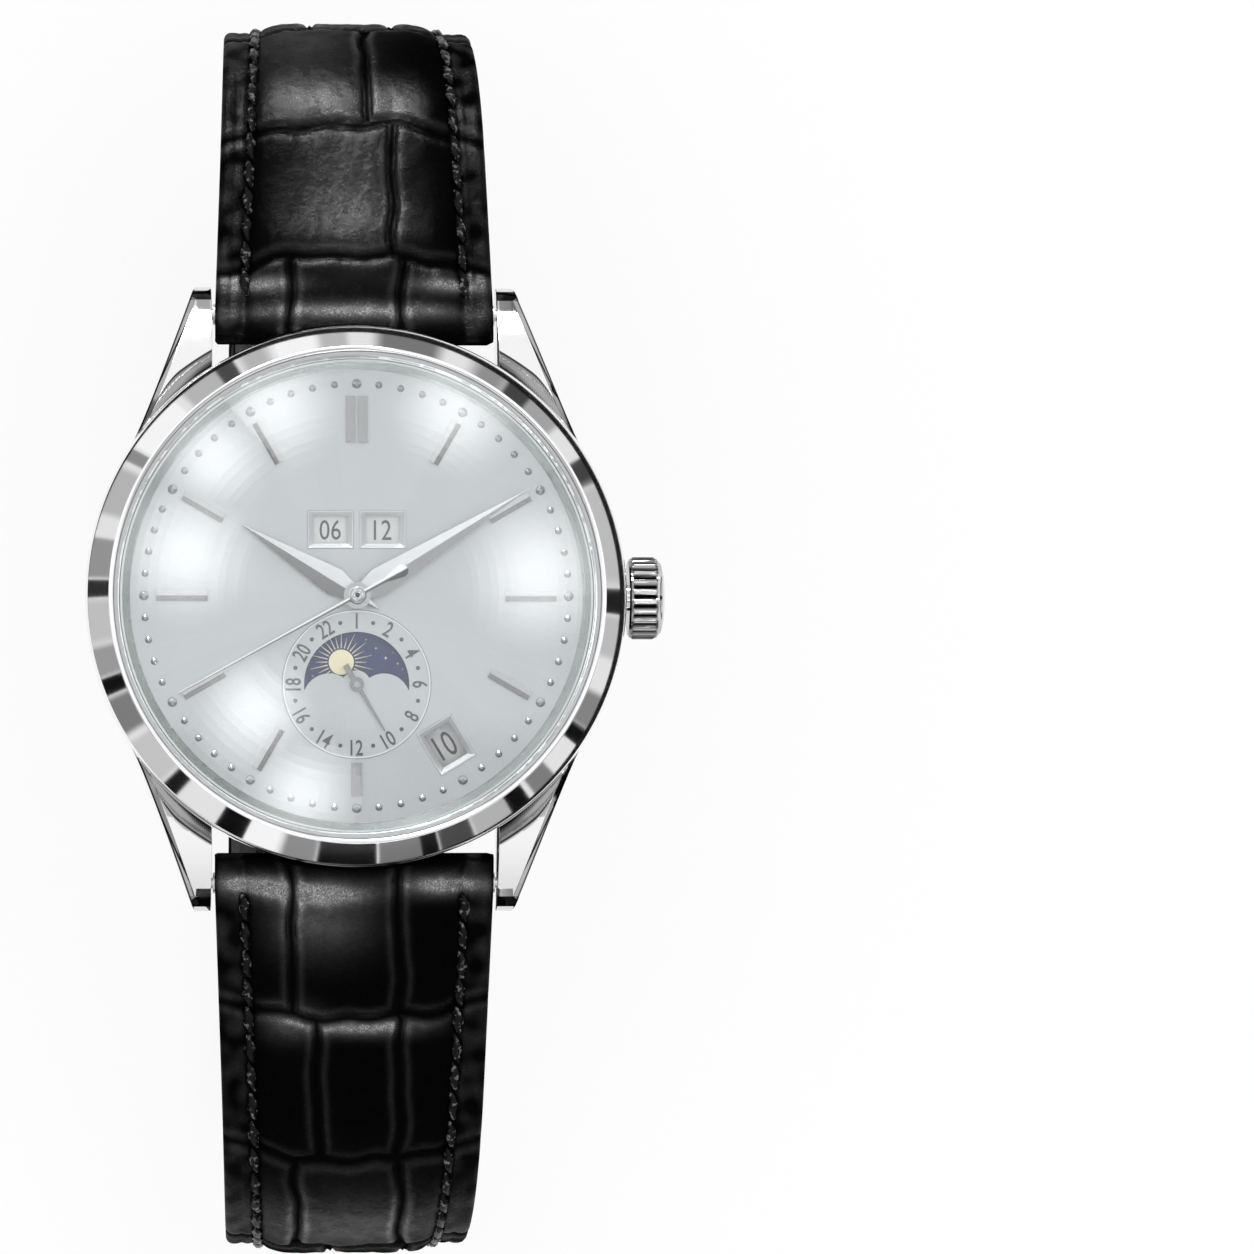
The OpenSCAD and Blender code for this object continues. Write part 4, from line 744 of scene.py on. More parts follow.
def crown_shape():
    """The crown, made with its axis on Z from rings of (height, radius, share of the flutes)."""
    rings = [(0.0, 2.2, 0), (0.0, NECK_R, 0), (0.1, CHAMFER_R, 0), (0.24, SHOULDER_R, 0.15),
             (0.34, CROWN_R, 1), (CROWN_LEN - 0.4, CROWN_R, 1), (CROWN_LEN - 0.28, SHOULDER_R, 0.15),
             (CROWN_LEN - 0.14, CHAMFER_R, 0), (CROWN_LEN, NECK_R, 0)]
    rings += [(CROWN_LEN + CROWN_DOME * math.sin(math.radians(a)), NECK_R * math.cos(math.radians(a)), 0)
              for a in (15, 30, 45, 60, 75, 86)]
    bm = tube(len(rings) - 1, FLUTES * FLUTE_STEPS)
    for v in bm.verts:
        height, radius, cut = rings[round(v.co.z * (len(rings) - 1))]
        angle = math.atan2(v.co.y, v.co.x)
        wave = 0.5 - 0.5 * math.cos(angle * FLUTES)
        radius -= cut * FLUTE_DEEP * (1 - wave ** 0.8)
        v.co = Vector((radius * math.cos(angle), radius * math.sin(angle), height))
    return outwards(laid(bm, (CROWN_X, 0, STEM_Z), 90, "Y"))


crown_steel = steel("crown_steel", POLISHED, 0.06, 0.08)
along_crown, off_y, off_z = crown_steel.parts(crown_steel.place((CROWN_X, 0, STEM_Z)))
from_stem = (off_y * off_y + off_z * off_z) ** 0.5
# Painted shade: the colour is dark in the flute valleys and darker towards the flanks, while the dome stays
# light.
depth = crown_steel.fade(from_stem, CROWN_R - FLUTE_DEEP, CROWN_R - 0.05, "LINEAR")
on_dome = along_crown.fn("GREATER_THAN", CROWN_LEN - 0.2)
painted_side_shade = 0.72 - 0.5 * (off_y / CROWN_R) ** 2
crown_steel.set({"Base Color": (depth * depth).fn("MAXIMUM", on_dome) * painted_side_shade})
piece("fluted_crown", crown_shape(), crown_steel, "crown", ["crown"], sharp=28)

# %% [markdown]
# ## Dial
# The dial is silvered brass with a sunburst: fine lines brushed from the centre outwards, under a thin
# lacquer. The lines are a noise on the direction from the centre, so they run straight to the edge. A wide,
# weak version of the same noise paints soft light and dark rays into the colour: a painted sheen, which stays
# put when the light moves.

# %% Sunburst
dial_finish = Finish("dial_silver", metallic=0.55, Coat_Weight=0.35, Coat_Roughness=0.12)
outward = dial_finish.direction()
fine_rays = dial_finish.noise(outward, 150.0, 2.0, 0.7)
painted_sheen_rays = dial_finish.noise(outward, 2.2, 1.0)
# Painted sheen: the wide rays lay light and dark wedges into the colour.
dial_finish.set({
    "Base Color": dial_finish.mix(0.5 * fine_rays + 0.5 * painted_sheen_rays, (0.47, 0.487, 0.5), (0.67, 0.69, 0.702)),
    "Roughness": 0.28 + 0.16 * fine_rays,
})
dial_finish.bump(fine_rays, 0.004)
dress(dial_finish, "dial")
dress(steel("rehaut_grey", (0.66, 0.7, 0.69), 0.16, 0.1), "rehaut")
enamel = grained("calendar_white", (0.86, 0.86, 0.85), 0.0, 0.3, 0.1, 4.0)
dress(enamel, "date_ring", "day_disc", "month_disc")
print("dial is dressed")

# %% [markdown]
# The numbers are pad printed: a film of ink, 0.024 mm thick. Each is a text curve in Blender's own plain
# font, narrowed, made a mesh and laid on what carries it. The two upper windows show the number of the day
# in the week and of the month in the year.

# %% Printed numbers
HALF_INK = 0.012
TEXT_DEPTH = 0.01
ink = grained("ink", (0.07, 0.07, 0.08), 0.0, 0.38, 0.14, 9.0)


def number_mesh(text, height, narrow, weight):
    curve = bpy.data.curves.new("number", "FONT")
    curve.body = text
    curve.align_x = curve.align_y = "CENTER"
    curve.offset = weight
    curve.extrude = TEXT_DEPTH
    curve.resolution_u = 3
    holder = bpy.data.objects.new("number", curve)
    bpy.context.scene.collection.objects.link(holder)
    bpy.context.view_layer.update()
    shape = bpy.data.meshes.new_from_object(holder.evaluated_get(bpy.context.evaluated_depsgraph_get()))
    bpy.data.objects.remove(holder)
    (left, right), (low, high) = [[pick(v.co[i] for v in shape.vertices) for pick in (min, max)]
                                  for i in (0, 1)]
    grow = height / (high - low)
    shape.transform(Matrix.Diagonal((grow * narrow, grow, HALF_INK / TEXT_DEPTH, 1))
                    @ Matrix.Translation((-(left + right) / 2, -(low + high) / 2, 0)))
    return shape


def printed(name, marks, body, narrow, weight=0.0):
    """One piece of all marks: each is (text, height, x, y, z, turn in degrees)."""
    bm = bmesh.new()
    for text, height, x, y, z, turn in marks:
        shape = number_mesh(text, height, narrow, weight)
        shape.transform(placed((x, y, z + HALF_INK), turn))
        bm.from_mesh(shape)
        bpy.data.meshes.remove(shape)
    piece(name, bm, ink, body)


def on_clock(clock, radius, centre=(0, 0)):
    return polar(90 - clock, radius, centre)


SMALL_DIAL, HOURS_R = (0, -6.3), 4.52
hours = [(30 * i, hour) for i, hour in enumerate([1, *range(2, 23, 2)])]
marks = [(str(hour), 1.12, *on_clock(clock, HOURS_R, SMALL_DIAL), DIAL_TOP,
          (180 if 120 <= clock <= 240 else 0) - clock) for clock, hour in hours]
printed("small_dial_hours", marks, "case", narrow=0.72, weight=0.014)

# %% Points and lines of the small dial
POINT_R = 0.15
points = bmesh.new()
for clock, _ in hours:
    spot = (*on_clock(clock + 15, HOURS_R, SMALL_DIAL), DIAL_TOP + HALF_INK)
    rod(points, POINT_R, 2 * HALF_INK, placed(spot), 20)
piece("small_dial_points", points, ink, "case")
RIM_IN, RIM_OUT, RIM_HIGH = 5.27, 5.33, 0.03
rim = turned([(RIM_IN, 0), (RIM_OUT, 0), (RIM_OUT, RIM_HIGH), (RIM_IN, RIM_HIGH)], 180)
piece("small_dial_rim", laid(rim, (*SMALL_DIAL, DIAL_TOP - 0.01)),
      grained("engraved_line", (0.26, 0.265, 0.275), 0.2, 0.25, 0.15, 6.0), "case")

# %% Numbers on the turning discs
DATE_R, DATE_Z, DATE_CLOCK, TODAY, DAYS = 12.37, 6.6, 149, 10, 31
WEEK_X, WEEK_Y, WEEK_R, WEEK_Z = 6.4, 4.73, 4.53, 7.25

dates = [(day, DATE_CLOCK + (day - TODAY) * 360 / DAYS) for day in range(1, DAYS + 1)]
marks = [(str(day), 1.85, *on_clock(clock, DATE_R), DATE_Z, 180 - clock) for day, clock in dates]
printed("date_numbers", marks, "date_ring", narrow=0.68)


def week_numbers(name, count, shown, side, body):
    """Numbers round a disc beside the window. The shown one faces the window upright."""
    facing_window = 180 if side > 0 else 0
    marks = []
    for number in range(1, count + 1):
        turn = (number - shown) * 360 / count
        x, y = polar(facing_window + turn, WEEK_R, (side * WEEK_X, WEEK_Y))
        marks.append((f"{number:02d}", 1.42, x, y, WEEK_Z, turn))
    printed(name, marks, body, narrow=0.8)


week_numbers("day_numbers", 7, 6, -1, "day_disc")
week_numbers("month_numbers", 12, 12, 1, "month_disc")

# %% [markdown]
# The disc behind the arched opening turns once a day. It carries a plain gold sun with fine rays by day,
# and a crescent by night, among small stars, on deep blue. Each is a thin gilt shape of its own.

# %% Sun and moon disc
SKY_Z, SUN, RAYS, MOON = 7.1, (-1.07, 1.6), 28, (1.2, -2.0)
STARS = [(1.4, 2.6, 0.13), (2.1, 1.9, 0.17), (2.95, 1.5, 0.12), (3.3, 1.1, 0.09), (-3.1, 0.6, 0.12),
         (0.7, 3.2, 0.09), (2.6, 2.3, 0.07), (-2.6, -1.6, 0.12), (0.4, -3.1, 0.12), (2.9, -1.3, 0.1),
         (-0.9, -3.0, 0.08), (1.1, -0.9, 0.1)]
GILT_Z = SKY_Z + 0.02

sky_finish = Finish("sky_blue", roughness=0.3, Specular_IOR_Level=0.2)
sky_grain = sky_finish.noise(sky_finish.place(), 30.0, 4.0, 0.7)
sky_finish.set({"Base Color": sky_finish.mix(sky_grain, (0.002, 0.022, 0.12), (0.006, 0.045, 0.21))})
dress(sky_finish, "sun_moon_disc")

heavens = rod(bmesh.new(), 0.9, 0.06, placed((*SUN, SKY_Z + 0.03)), 48)
for i in range(RAYS):
    length = 1.25 if i % 2 else 0.8
    spin = placed((*SUN, GILT_Z), 360 * i / RAYS)
    rod(heavens, 0.055, length, spin @ placed((1.0 + length / 2, 0, 0), 90, "Y"), 6, end=0.012)
for x, y, size in STARS:
    for turn in (0, 45, 90, 135):
        long = size if turn % 90 == 0 else size * 0.5
        bmesh.ops.create_icosphere(heavens, subdivisions=1, radius=1, matrix=placed((x, y, GILT_Z), turn)
                                   @ Matrix.Diagonal((long, size * 0.16, 0.02, 1)))
moon_edge = [polar(60 + 12 * i, 0.95, MOON) for i in range(21)]
moon_edge += [polar(285 - 12 * i, 0.84, (MOON[0] + 0.36, MOON[1] - 0.12)) for i in range(18)]
moon_face = heavens.faces.new([heavens.verts.new((*spot, GILT_Z)) for spot in moon_edge])
lifted = bmesh.ops.extrude_face_region(heavens, geom=[moon_face])
bmesh.ops.translate(heavens, vec=(0, 0, 0.03), verts=verts_of(lifted))
gilt = grained("gilt", (0.93, 0.85, 0.6), 0.6, 0.25, 0.2, 12.0)
piece("sun_and_stars", outwards(laid(heavens, (*SMALL_DIAL, 0))), gilt, "day_night")

# %% [markdown]
# The seconds hand has a domed ring on its hub. It and the hand of the small dial have a dark pin in their
# middle.

# %% Hubs
HUB_Z, PIN_R, PIN_HIGH = 9.19, 0.19, 0.1

hub = laid(turned([(0.17, 0), (0.6, 0), (0.56, 0.07), (0.38, 0.13), (0.17, 0.13)], 64), (0, 0, HUB_Z))
hub_finish = steel("hub_steel", (0.5, 0.5, 0.52), 0.06, 0.05)
piece("seconds_hub", ease(hub, 0.02, 30, 2), hub_finish, "seconds")
pin_finish = grained("hub_pin", (0.06, 0.06, 0.065), 1.0, 0.2, 0.15, 9.0)
for name, centre, top, body in (("seconds_pin", (0, 0), 9.25, "seconds"),
                                ("small_pin", SMALL_DIAL, 8.215, "day_night")):
    pin = rod(bmesh.new(), PIN_R, PIN_HIGH, placed((*centre, top - PIN_HIGH / 2)), 32)
    piece(name, pin, pin_finish, body)

# %% [markdown]
# ## Movement
# The movement shows through the back window. Each kind of part has the finish that watchmakers give it:
# overlapping polished spots on the plate, straight waves on the bridges and the rotor, rays from the middle
# of the watch on the winding wheels, fine grain on brass wheels, and heat-blued screws and hairspring.

# %% Patterns
def spots(finish):
    spot = finish.node("TexVoronoi", {"Vector": finish.place(), "Scale": 0.9, "Randomness": 0.0},
                       output="Distance")
    return (spot * 60).fn("SINE") * 0.25 + 0.25 + 0.6 * spot


def waves(finish):
    across_wave, _, _ = finish.parts(finish.place(turn=0.5))
    grain = finish.noise(finish.place(stretch=(22, 1, 1), turn=0.5), 1.0, 3.0)
    return (across_wave / 1.7).fn("FRACT") * 0.6 + 0.4 * grain


def rays(finish):
    return finish.noise(finish.direction(), 40.0, 2.0, 0.7)


def fine(finish):
    return finish.noise(finish.place(), 4.0, 4.0, 0.6)


# %% Finishes of the movement
RHODIUM, BRASS, BLUED, SPRING = (0.62, 0.63, 0.65), (0.72, 0.5, 0.22), (0.025, 0.06, 0.3), (0.45, 0.46, 0.5)
for name, colour, roughness, spread, depth, pattern, parts in (
        ("spotted_plate", RHODIUM, 0.2, 0.3, 0.012, spots, ["main_plate", "movement_ring"]),
        ("waved_bridge", RHODIUM, 0.18, 0.2, 0.02, waves, ["train_bridge", "balance_cock"]),
        ("waved_rotor", (0.66, 0.66, 0.67), 0.16, 0.2, 0.02, waves, ["rotor"]),
        ("winding_wheel", RHODIUM, 0.12, 0.2, 0.006, rays, ["crown_wheel", "ratchet_wheel", "click"]),
        ("grained_brass", BRASS, 0.18, 0.2, 0.006, fine,
         ["minute_wheel", "hour_wheel", "idler_wheel", "centre_wheel", "third_wheel", "fourth_wheel",
          "barrel", "balance_wheel", "reverser_wheel"]),
        ("polished_train", SPRING, 0.1, 0.1, 0.003, fine,
         ["day_night_wheel", "cannon_pinion", "barrel_arbor", "escape_wheel", "pallet_fork", "mainspring",
          "rotor_bearing"]),
        ("blued_steel", BLUED, 0.14, 0.12, 0.003, fine, ["bridge_screws", "hairspring"])):
    finish = Finish(name, colour, 1.0)
    height = pattern(finish)
    finish.set({"Roughness": roughness + spread * height})
    finish.bump(height, depth)
    dress(finish, *parts)
print("the movement is dressed")

# %% [markdown]
# ## Strap
# The strap is padded leather, embossed with large scales, and each half hangs on a spring bar and curls away
# under the case. A capped cylinder is cut into many rings, and every vertex is then laid on the strap: its
# angle says how far across, its height how far along. Creases between the scales are real relief. The fine
# grain of the leather is left to the finish.

# %% Routes of the two halves
ROOT_T, LINING_T, PAD_H = 4.2, 0.8, 0.7
ROOT_R = ROOT_T / 2 + 0.06
WIDE, NARROW, TAPER = 20.0, 16.0, 52.0


def between(t, low=0, high=1):
    return min(high, max(low, t))


class Strap:
    """One half of the strap: side is 1 for the twelve o'clock half, -1 for the other."""

    def __init__(self, side, heading, steps, total, thin, tip=0.0):
        self.side, self.heading, self.steps = side, heading, steps
        self.total, self.thin, self.tip = total, thin, tip

    def route(self, s):
        """Place and heading at s along the strap's middle, in the plane across its width."""
        y, z, angle = PIN_Y, PIN_Z, math.radians(self.heading)
        for length, turn in (*self.steps, (math.inf, 0)):
            step = min(s, length)
            if turn:
                radius = length / math.radians(turn)
                end = angle - step / radius
                y += radius * (math.sin(angle) - math.sin(end))
                z += radius * (math.cos(end) - math.cos(angle))
                angle = end
            else:
                y += step * math.cos(angle)
                z += step * math.sin(angle)
            s -= step
            if s <= 0:
                return y, z, angle

    def at(self, x, s, h):
        """The point x across, s along and h above the strap's middle."""
        y, z, angle = self.route(s)
        return Vector((x, self.side * (y - h * math.sin(angle)), z + h * math.cos(angle)))

    def half_width(self, s):
        wide = max(NARROW, WIDE - (WIDE - NARROW) * max(s, 0) / TAPER) / 2
        t = (s - self.total + self.tip) / (self.tip + 1)
        return wide * math.sqrt(1 - t * t) if self.tip and t > 0 else wide

    def thick(self, s):
        return self.thin + (ROOT_T - self.thin) * (1 - between((s - 4) / 34))

    def pad(self, s):
        return PAD_H * between(3 * (0.75 - s / self.total), low=0.15)


def bend(radius, degrees):
    """One step of a route: a bend as long as its arc."""
    return radius * math.radians(degrees), degrees


SHORT = Strap(1, -12, [(11, 0), bend(13, 78), bend(10, 90)], 80, 2.4)
LONG = Strap(-1, -8, [(14.4, 0), bend(13.5, 82), bend(19.13, 90)], 118, 2.0, 7.0)
BUCKLE_BAR = SHORT.at(0, SHORT.total, 0)
print("buckle bar at", [round(v, 2) for v in BUCKLE_BAR])

# %% [markdown]
# A scale is a cushion between creases. Rows cross the strap in gentle arches, and each row has its own seams
# along the strap. The height is the sum of a narrow dip and a wide one at the nearest crease, so a scale
# swells towards its middle. Noise bends the creases and puts soft wrinkles into them.

# %% Embossing
STITCH_IN = (2.1, 2.4)
FLANGE_GROOVE = 1.15
PUFF = 0.45
NO_SEAM = 9


def ripple(x, y, scale, seed):
    return noise.noise(Vector((x / scale, y / scale, seed)))


def stitch_inset(s):
    return STITCH_IN[0] + (STITCH_IN[1] - STITCH_IN[0]) * smooth_step(s / 40)


def hump(distance, width, height=1.0):
    """A bell curve: its full height at no distance, a third of it at the width."""
    return height * math.exp(-(distance / width) ** 2)


class Scales:
    """Rows of scales: rows are places along the strap, seams the places across for each row."""

    def __init__(self, rows, seams, arch, seed):
        self.rows, self.seams, self.arch, self.seed = rows, seams, arch, seed

    def relief(self, x, s, half):
        """How far the leather dips below its padded top, in millimetres."""
        arched = self.arch * (1 - (x / half) ** 2)
        row_gap = min(abs(s - row - arched - 0.45 * ripple(x, row, 2.6, self.seed)) for row in self.rows)
        below = sum(s > row + arched for row in self.rows)
        seams = self.seams[min(below, len(self.seams) - 1)]
        seam_gap = min((abs(x - seam - 0.5 * ripple(seam, s, 3.0, self.seed + 5)) for seam in seams),
                       default=NO_SEAM)
        inner = half - abs(x) > stitch_inset(s)
        dip = hump(row_gap - 0.2, 0.15, 0.26) + hump(row_gap, 0.75, 0.2)
        dip_seam = hump(seam_gap - 0.2, 0.13, 0.24) + hump(seam_gap, 0.65, 0.16) if inner else 0
        dip = max(dip, dip_seam) + 0.35 * min(dip, dip_seam)
        self.gap = min(row_gap, seam_gap if inner else NO_SEAM)
        near_crease = math.exp(-min(row_gap, seam_gap) / 1.6)
        wrinkle = ripple(x, s * 0.6, 0.75, self.seed + 9) * (0.03 + 0.1 * near_crease)
        swell = 0.05 * ripple(x, s, 3.5, self.seed + 3)
        return dip + wrinkle + swell


def leather_top(strap, scales, x, s):
    """Height of the leather's upper face over the strap's middle."""
    half = strap.half_width(s)
    edge = half - abs(x)
    inset = stitch_inset(s)
    padded = 1 - (1 - between((edge - inset) / 2.7)) ** 2.3
    flange = smooth_step((inset - edge) * 3)
    height = strap.thick(s) / 2 - strap.pad(s) * (1 - padded)
    height += hump(s - 4.5, 2.6, PUFF * padded)
    height -= hump(edge - inset, 0.42, 0.22)
    height -= flange * hump(edge - FLANGE_GROOVE, 0.22, 0.14) * (0.6 + 0.5 * ripple(0, s, 2.0, 3))
    return height - (1 - 0.55 * flange) * scales.relief(x, s, half)


# %% [markdown]
# The polish of leather is uneven: rims of the scales and the folds that get rubbed shine, the rest is dull. A
# share of shine is stored with every vertex: some places of each half, given by where they lie along and
# across, how far they reach each way and how much they shine, and the rims of all scales. Where the share is
# high, the finish also paints a grey highlight into the colour.

# %% Where the leather shines
SHORT_SHINE = [(1.7, 0.6, -7, 2.6, 1.1), (1.7, 0.6, 7, 2.6, 1.1), (-0.3, 0.6, 0, 9, 0.95),
               (8.2, 5.2, -0.4, 3.6, 0.36), (15.6, 1.6, -2.6, 3.4, 0.45), (20.5, 4.0, -3.5, 4.0, 0.25),
               (15.2, 1.6, 3.2, 1.6, 0.4), (27.5, 3.0, 0, 9, 0.25)]
LONG_SHINE = [(-0.1, 0.7, -7.4, 2.4, 1.4), (0.5, 0.8, -2.6, 3.4, 1.4), (2.6, 2.2, -2.6, 3.2, 0.5),
              (-0.1, 0.7, 6.6, 3.0, 1.3), (10.2, 0.6, 0.6, 3.6, 1.0), (9.8, 1.2, -4.5, 1.8, 0.5),
              (25.5, 3.4, 0, 8, 0.5)]


def shine(spots, scales, x, s, edge):
    """Share of polish at a place, after the relief there was found."""
    total = sum(amount * math.exp(-((s - at) / length) ** 2 - ((x - across) / width) ** 2)
                for at, length, across, width, amount in spots)
    rim = hump(scales.gap - 0.6, 0.25, 0.14 + 0.5 * total)
    flange = 0.16 * smooth_step((2.2 - edge) * 2) * max(0, 0.45 + 1.3 * ripple(x, s, 1.3, 8))
    return min(1, (total + rim + flange) * (1 - hump(scales.gap, 0.3)))


# %% Leather of one half
AROUND, LINING_AROUND, TOP_SHARE = 168, 56, 0.74
EDGE_R, FLAT = 0.5, 0.95


def across(turn, half):
    """Place across the strap, and how far down its side, for a share of the way round the section."""
    top = turn < TOP_SHARE
    q = 1 - 2 * turn / TOP_SHARE if top else 2 * (turn - TOP_SHARE) / (1 - TOP_SHARE) - 1
    if abs(q) <= FLAT:
        return q / FLAT * (half - EDGE_R), 0.0, top
    bent = (abs(q) - FLAT) / (1 - FLAT) * math.pi / 2
    return math.copysign(half - EDGE_R + EDGE_R * math.sin(bent), q), EDGE_R * (1 - math.cos(bent)), top


def along(strap, bm, start, end, narrower=0.0):
    """Each vertex of a tube with its place: s along, x across, how far down the side, and if it is on top."""
    for v in bm.verts:
        s = start + (end - start) * v.co.z
        turn = math.atan2(v.co.y, v.co.x) / math.tau % 1
        yield v, s, *across(turn, strap.half_width(s) - narrower)


def leather(strap, scales, rings, end, spots):
    """The leather from the fold round the spring bar to end along the strap."""
    bm = tube(rings, AROUND)
    polish = bm.verts.layers.float.new("shine")
    for v, s, x, down, top in along(strap, bm, -ROOT_R * 0.98, end):
        if top:
            h = leather_top(strap, scales, x, s) - down
            v[polish] = shine(spots, scales, x, s, strap.half_width(s) - abs(x))
        else:
            h = LINING_T * smooth_step((s - ROOT_R) / 0.4) - strap.thick(s) / 2 + 0.35 * down
        if s < 1:
            fold = math.sqrt(max(0.02, ROOT_R ** 2 - min(s, 0) ** 2))
            h = between(h, -fold, fold + 0.06 * ripple(x, s, 0.9, 2) * top)
        v.co = strap.at(x, s, h)
    return outwards(bm)


def lining(strap, rings, end):
    """The thin inner leather, flat across and a little narrower than the strap."""
    bm = tube(rings, LINING_AROUND)
    for v, s, x, down, top in along(strap, bm, ROOT_R + 0.2, end, narrower=0.1):
        h = LINING_T - 0.02 - 0.1 * down if top else 0.3 * down
        v.co = strap.at(x, s, h - strap.thick(s) / 2)
    return outwards(bm)


print("strap shapes are ready")

# %% [markdown]
# A stitch is a short length of twisted, waxed thread that dips into the leather at both ends. It is a ball
# stretched along its seam, with two strands wound round each other. The same stitch is laid every 2 mm down
# both sides of each half, and on the lining.

# %% Stitches
STITCH_PITCH, STITCH_LEN, THREAD_R = 2.05, 2.25, 0.38
STRAND, WINDING, SLANT = 0.24, 5, 8
STITCH_PROUD, LINING_PROUD = 0.16, 0.04


def stitch_mesh():
    bm = bmesh.new()
    bmesh.ops.create_uvsphere(bm, u_segments=8, v_segments=7, radius=1)
    for v in bm.verts:
        wound = math.atan2(v.co.y, v.co.x) * 2 + v.co.z * WINDING
        thick = THREAD_R * (1 + STRAND * math.cos(wound)) * (1 - 0.25 * v.co.z ** 2) ** 0.5
        v.co = Vector((v.co.x * thick, v.co.y * thick, v.co.z * STITCH_LEN / 2))
    mesh = bpy.data.meshes.new("stitch")
    bm.to_mesh(mesh)
    bm.free()
    return mesh


def seam_places(strap, first, last):
    """Places (x, s) of the stitches: down one side, round the tip if there is one, and up the other."""
    line, round_tip, s = [], [], first
    stop = strap.total - strap.tip - 1 if strap.tip else last
    while s < stop:
        line.append((strap.half_width(s) - stitch_inset(s), s))
        s += STITCH_PITCH
    if strap.tip:
        wide = strap.half_width(stop) - stitch_inset(stop)
        deep = strap.tip - 1.2
        count = round((math.pi * (wide + deep) / 2) / STITCH_PITCH)
        round_tip = [(wide * math.cos(a), stop + deep * math.sin(a))
                     for a in (math.pi * (i + 0.5) / count for i in range(count))]
    return line + round_tip + [(-x, s) for x, s in reversed(line)]


def on_seam(strap, scales, x, s, upper):
    """The middle of a stitch: proud of the leather on top, and less so of the lining."""
    level = leather_top(strap, scales, x, s) + STITCH_PROUD if upper else -strap.thick(s) / 2 - LINING_PROUD
    return strap.at(x, s, level)


def stitches(strap, scales, first, last):
    """One mesh of all stitches of a strap half, on the leather and on the lining."""
    bm = bmesh.new()
    shape = stitch_mesh()
    spots = seam_places(strap, first, last)
    for i, (x, s) in enumerate(spots):
        before, after = spots[max(0, i - 1)], spots[min(len(spots) - 1, i + 1)]
        if math.dist(before, after) > 3 * STITCH_PITCH:
            before, after = (x, s - 1), (x, s + 1)
        for upper in (True, False):
            ahead = on_seam(strap, scales, *after, upper) - on_seam(strap, scales, *before, upper)
            heading = ahead.to_track_quat("Z", "Y").to_matrix().to_4x4() @ placed((0, 0, 0), SLANT, "Y")
            stitch = shape.copy()
            stitch.transform(placed(on_seam(strap, scales, x, s, upper)) @ heading)
            bm.from_mesh(stitch)
            bpy.data.meshes.remove(stitch)
    bpy.data.meshes.remove(shape)
    return bm


# %% [markdown]
# The leather is nearly black with a hard gloss that breaks up over a fine grain of cells and wrinkles. Where
# the gloss is strongest, grey specks are painted into its colour as highlights. The creases are duller. The
# lining is matt, with small pores. The thread is waxed and catches little light, so glints are painted into
# its colour as grey streaks.

# %% Leather finishes
black = Finish("black_leather", roughness=0.4, Specular_IOR_Level=0.0)
skin = black.place()
cells = black.node("TexVoronoi", {"Vector": skin, "Scale": 2.6, "Randomness": 1.0}, feature="SMOOTH_F1")
folds = black.noise(skin, 1.7, 6.0, 0.65)
pores = black.noise(skin, 9.0, 2.0, 0.6)
black.set({
    "Base Color": black.mix(folds, (0.001, 0.001, 0.0012), (0.003, 0.003, 0.0035)),
    "Roughness": 0.3 + 0.2 * folds,
})
grain = black.bump(0.3 * cells + 0.3 * folds + 0.4 * pores, 0.1)
share = black.node("Attribute", {}, output="Fac", attribute_name="shine")
broken = share * (0.45 + 1.1 * black.noise(skin, 1.1, 5.0, 0.7))
# Painted highlight: grey specks laid into the colour of the glossy shader where the shine is strongest.
painted_highlight = (broken * 2 * pores) ** 3
gloss_and_painted_specks = black.node("BsdfPrincipled", {
    "Base Color": 0.002 + 0.16 * painted_highlight, "Roughness": 0.16 + 0.2 * folds,
    "Specular IOR Level": 1.0, "Normal": grain})
dull = Term(black.shader.outputs[0])
black.output(black.blend(broken.fn("MINIMUM", 1.0), dull, gloss_and_painted_specks), alone=False)

suede = Finish("lining_leather")
pit = suede.noise(suede.place(), 5.0, 4.0, 0.7)
suede.set({"Base Color": suede.mix(pit, (0.02, 0.018, 0.017), (0.05, 0.044, 0.04)),
           "Roughness": 0.6 + 0.25 * pit})
suede.bump(pit, 0.06)

thread = Finish("waxed_thread", Specular_IOR_Level=0.15)
fibre = thread.noise(thread.place(), 14.0, 2.0)
# Painted glints: grey streaks laid into the thread's colour where it would catch the light.
glint = thread.fade(thread.noise(thread.place(), 2.6, 2.0), 0.56, 0.68, "LINEAR")
thread.set({"Roughness": 0.12 + 0.15 * fibre, "Base Color": 0.003 + 0.35 * glint * fibre})
thread.bump(fibre, 0.02)
print("leather is ready")

# %% [markdown]
# Each half is three pieces: the padded leather, its lining and its stitches. The leather of the twelve
# o'clock half ends in two sleeves round the buckle's bar, with a slot between them for the tongue.

# %% The twelve o'clock half
TONGUE_SLOT, SLEEVE_END, LOOP_R, BAR_R = 3.4, 7.9, 1.48, 0.87
short_scales = Scales(rows=[2.7, 12.6, 23.5, 33.5, 43.0, 52.0, 61.0, 69.5],
                      seams=[[-4.6, 3.4], [2.6], [1.0], [-2.6, 3.1], [-0.4], [2.2], [-1.8], [0.6]],
                      arch=1.25, seed=1.5)


def half_strap(half, leather_shape, lining_shape, stitch_shape):
    upper = piece(f"{half}_leather", leather_shape, black, half, [half], sharp=180)
    piece(f"{half}_inner", lining_shape, suede, half, [f"{half}_lining"])
    piece(f"{half}_stitches", stitch_shape, thread, half)


upper_leather = leather(SHORT, short_scales, 390, 78.6, SHORT_SHINE)
for side in (1, -1):
    sleeve = turned([(BAR_R, TONGUE_SLOT / 2), (LOOP_R, TONGUE_SLOT / 2), (LOOP_R, SLEEVE_END),
                     (BAR_R, SLEEVE_END)], 48)
    joined(upper_leather, laid(ease(sleeve, 0.15, 50, 2), BUCKLE_BAR, side * 90, "Y"))
half_strap("strap_12", upper_leather, lining(SHORT, 90, 77.6), stitches(SHORT, short_scales, 2.0, 76.0))

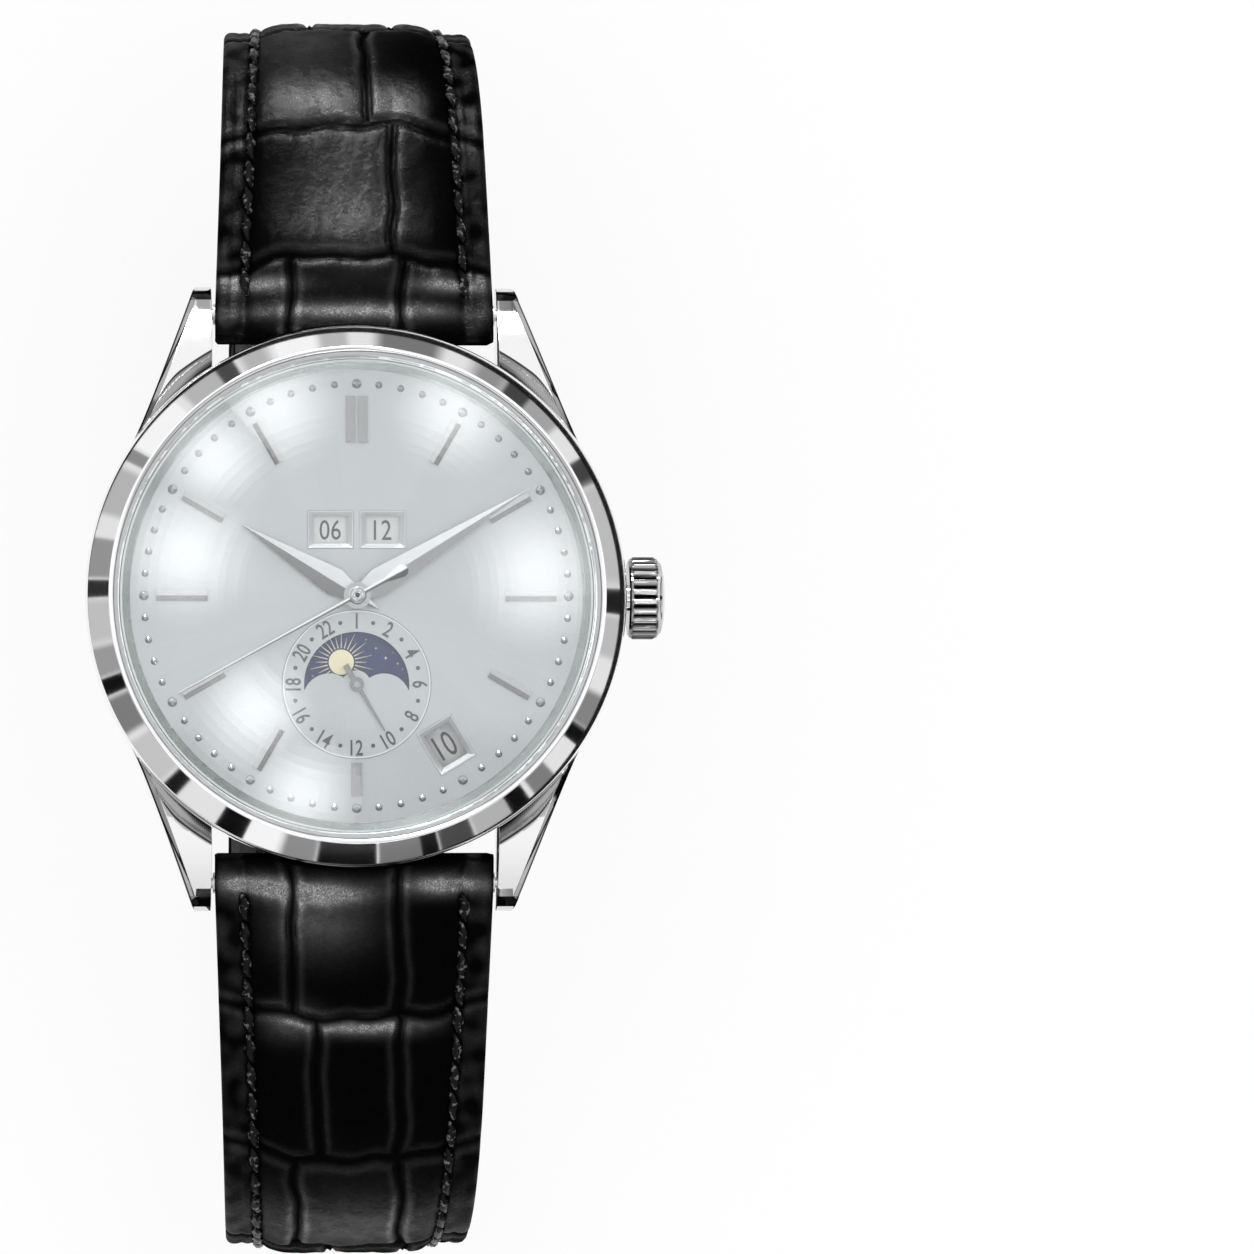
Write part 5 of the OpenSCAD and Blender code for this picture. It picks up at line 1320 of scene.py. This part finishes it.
# %% The six o'clock half
HOLES, HOLE_PITCH, FIRST_HOLE, HOLE_R, PUNCH_LEN = 6, 6, 22, 0.9, 6
LONG_END = LONG.total - 0.1
long_scales = Scales(rows=[8.5, 18.6, 29.0, 39.0, 48.5, 57.5, 66.0, 74.0, 82.0, 90.0, 98.0, 106.0],
                     seams=[[-4.6, 3.1], [-2.6, 3.3], [-3.9, 3.6], [-1.0, 4.2], [-3.4, 2.4], [0.8],
                            [-2.6, 2.9], [1.4], [-2.2], [2.1], [-0.6], [1.9], [0.0]],
                     arch=1.1, seed=4.5)


def punched(bm):
    """A strap layer with its row of holes."""
    punches = bmesh.new()
    for i in range(HOLES):
        rod(punches, HOLE_R, PUNCH_LEN, placed(LONG.at(0, LONG.total - FIRST_HOLE - HOLE_PITCH * i, 0)), 32)
    return carved(bm, punches)


half_strap("strap_6", punched(leather(LONG, long_scales, 560, LONG_END, LONG_SHINE)),
           punched(lining(LONG, 120, LONG_END)), stitches(LONG, long_scales, 1.6, 112.0))

# %% [markdown]
# ## Keepers
# A keeper is a band of folded leather. A rounded loop is extruded to the band's width, given its wall, and
# its edges are burnished round. One is sewn on beside the buckle, the other slides.

# %% Keepers
KEEPER_W, KEEPER_T, KEEPER_SHINE = 4.0, 1.1, 0.4
KEEPER_ABOVE, KEEPER_ROOM = 1.35, 2.2


def keeper(s):
    y, z, _ = SHORT.route(s)
    half = NARROW / 2 + 0.2 + KEEPER_T
    top, low = KEEPER_ABOVE + KEEPER_T, -(KEEPER_ABOVE + KEEPER_ROOM + KEEPER_T)
    bm = bmesh.new()
    corners = [bm.verts.new((x, y - KEEPER_W / 2, z + h)) for x, h in
               ((-half, low), (half, low), (half, top), (-half, top))]
    loop = [bm.edges.new(pair) for pair in zip(corners, corners[1:] + corners[:1])]
    walls = bmesh.ops.extrude_edge_only(bm, edges=loop)
    bmesh.ops.translate(bm, vec=(0, KEEPER_W, 0), verts=verts_of(walls))
    outwards(bm)
    bevel(bm, [e for e in bm.edges if abs(e.verts[0].co.y - e.verts[1].co.y) > 1], 0.9, 5)
    bmesh.ops.solidify(bm, geom=bm.faces[:], thickness=KEEPER_T - 0.05)
    outwards(bm)
    polish = bm.verts.layers.float.new("shine")
    ease(bm, 0.28, 50, 3)
    for v in bm.verts:
        v[polish] = KEEPER_SHINE
    return bm


piece("keeper_by_buckle", keeper(74), black, "strap_12", ["fixed_keeper"])
piece("keeper_sliding", keeper(62), black, "free_keeper", ["free_keeper"])
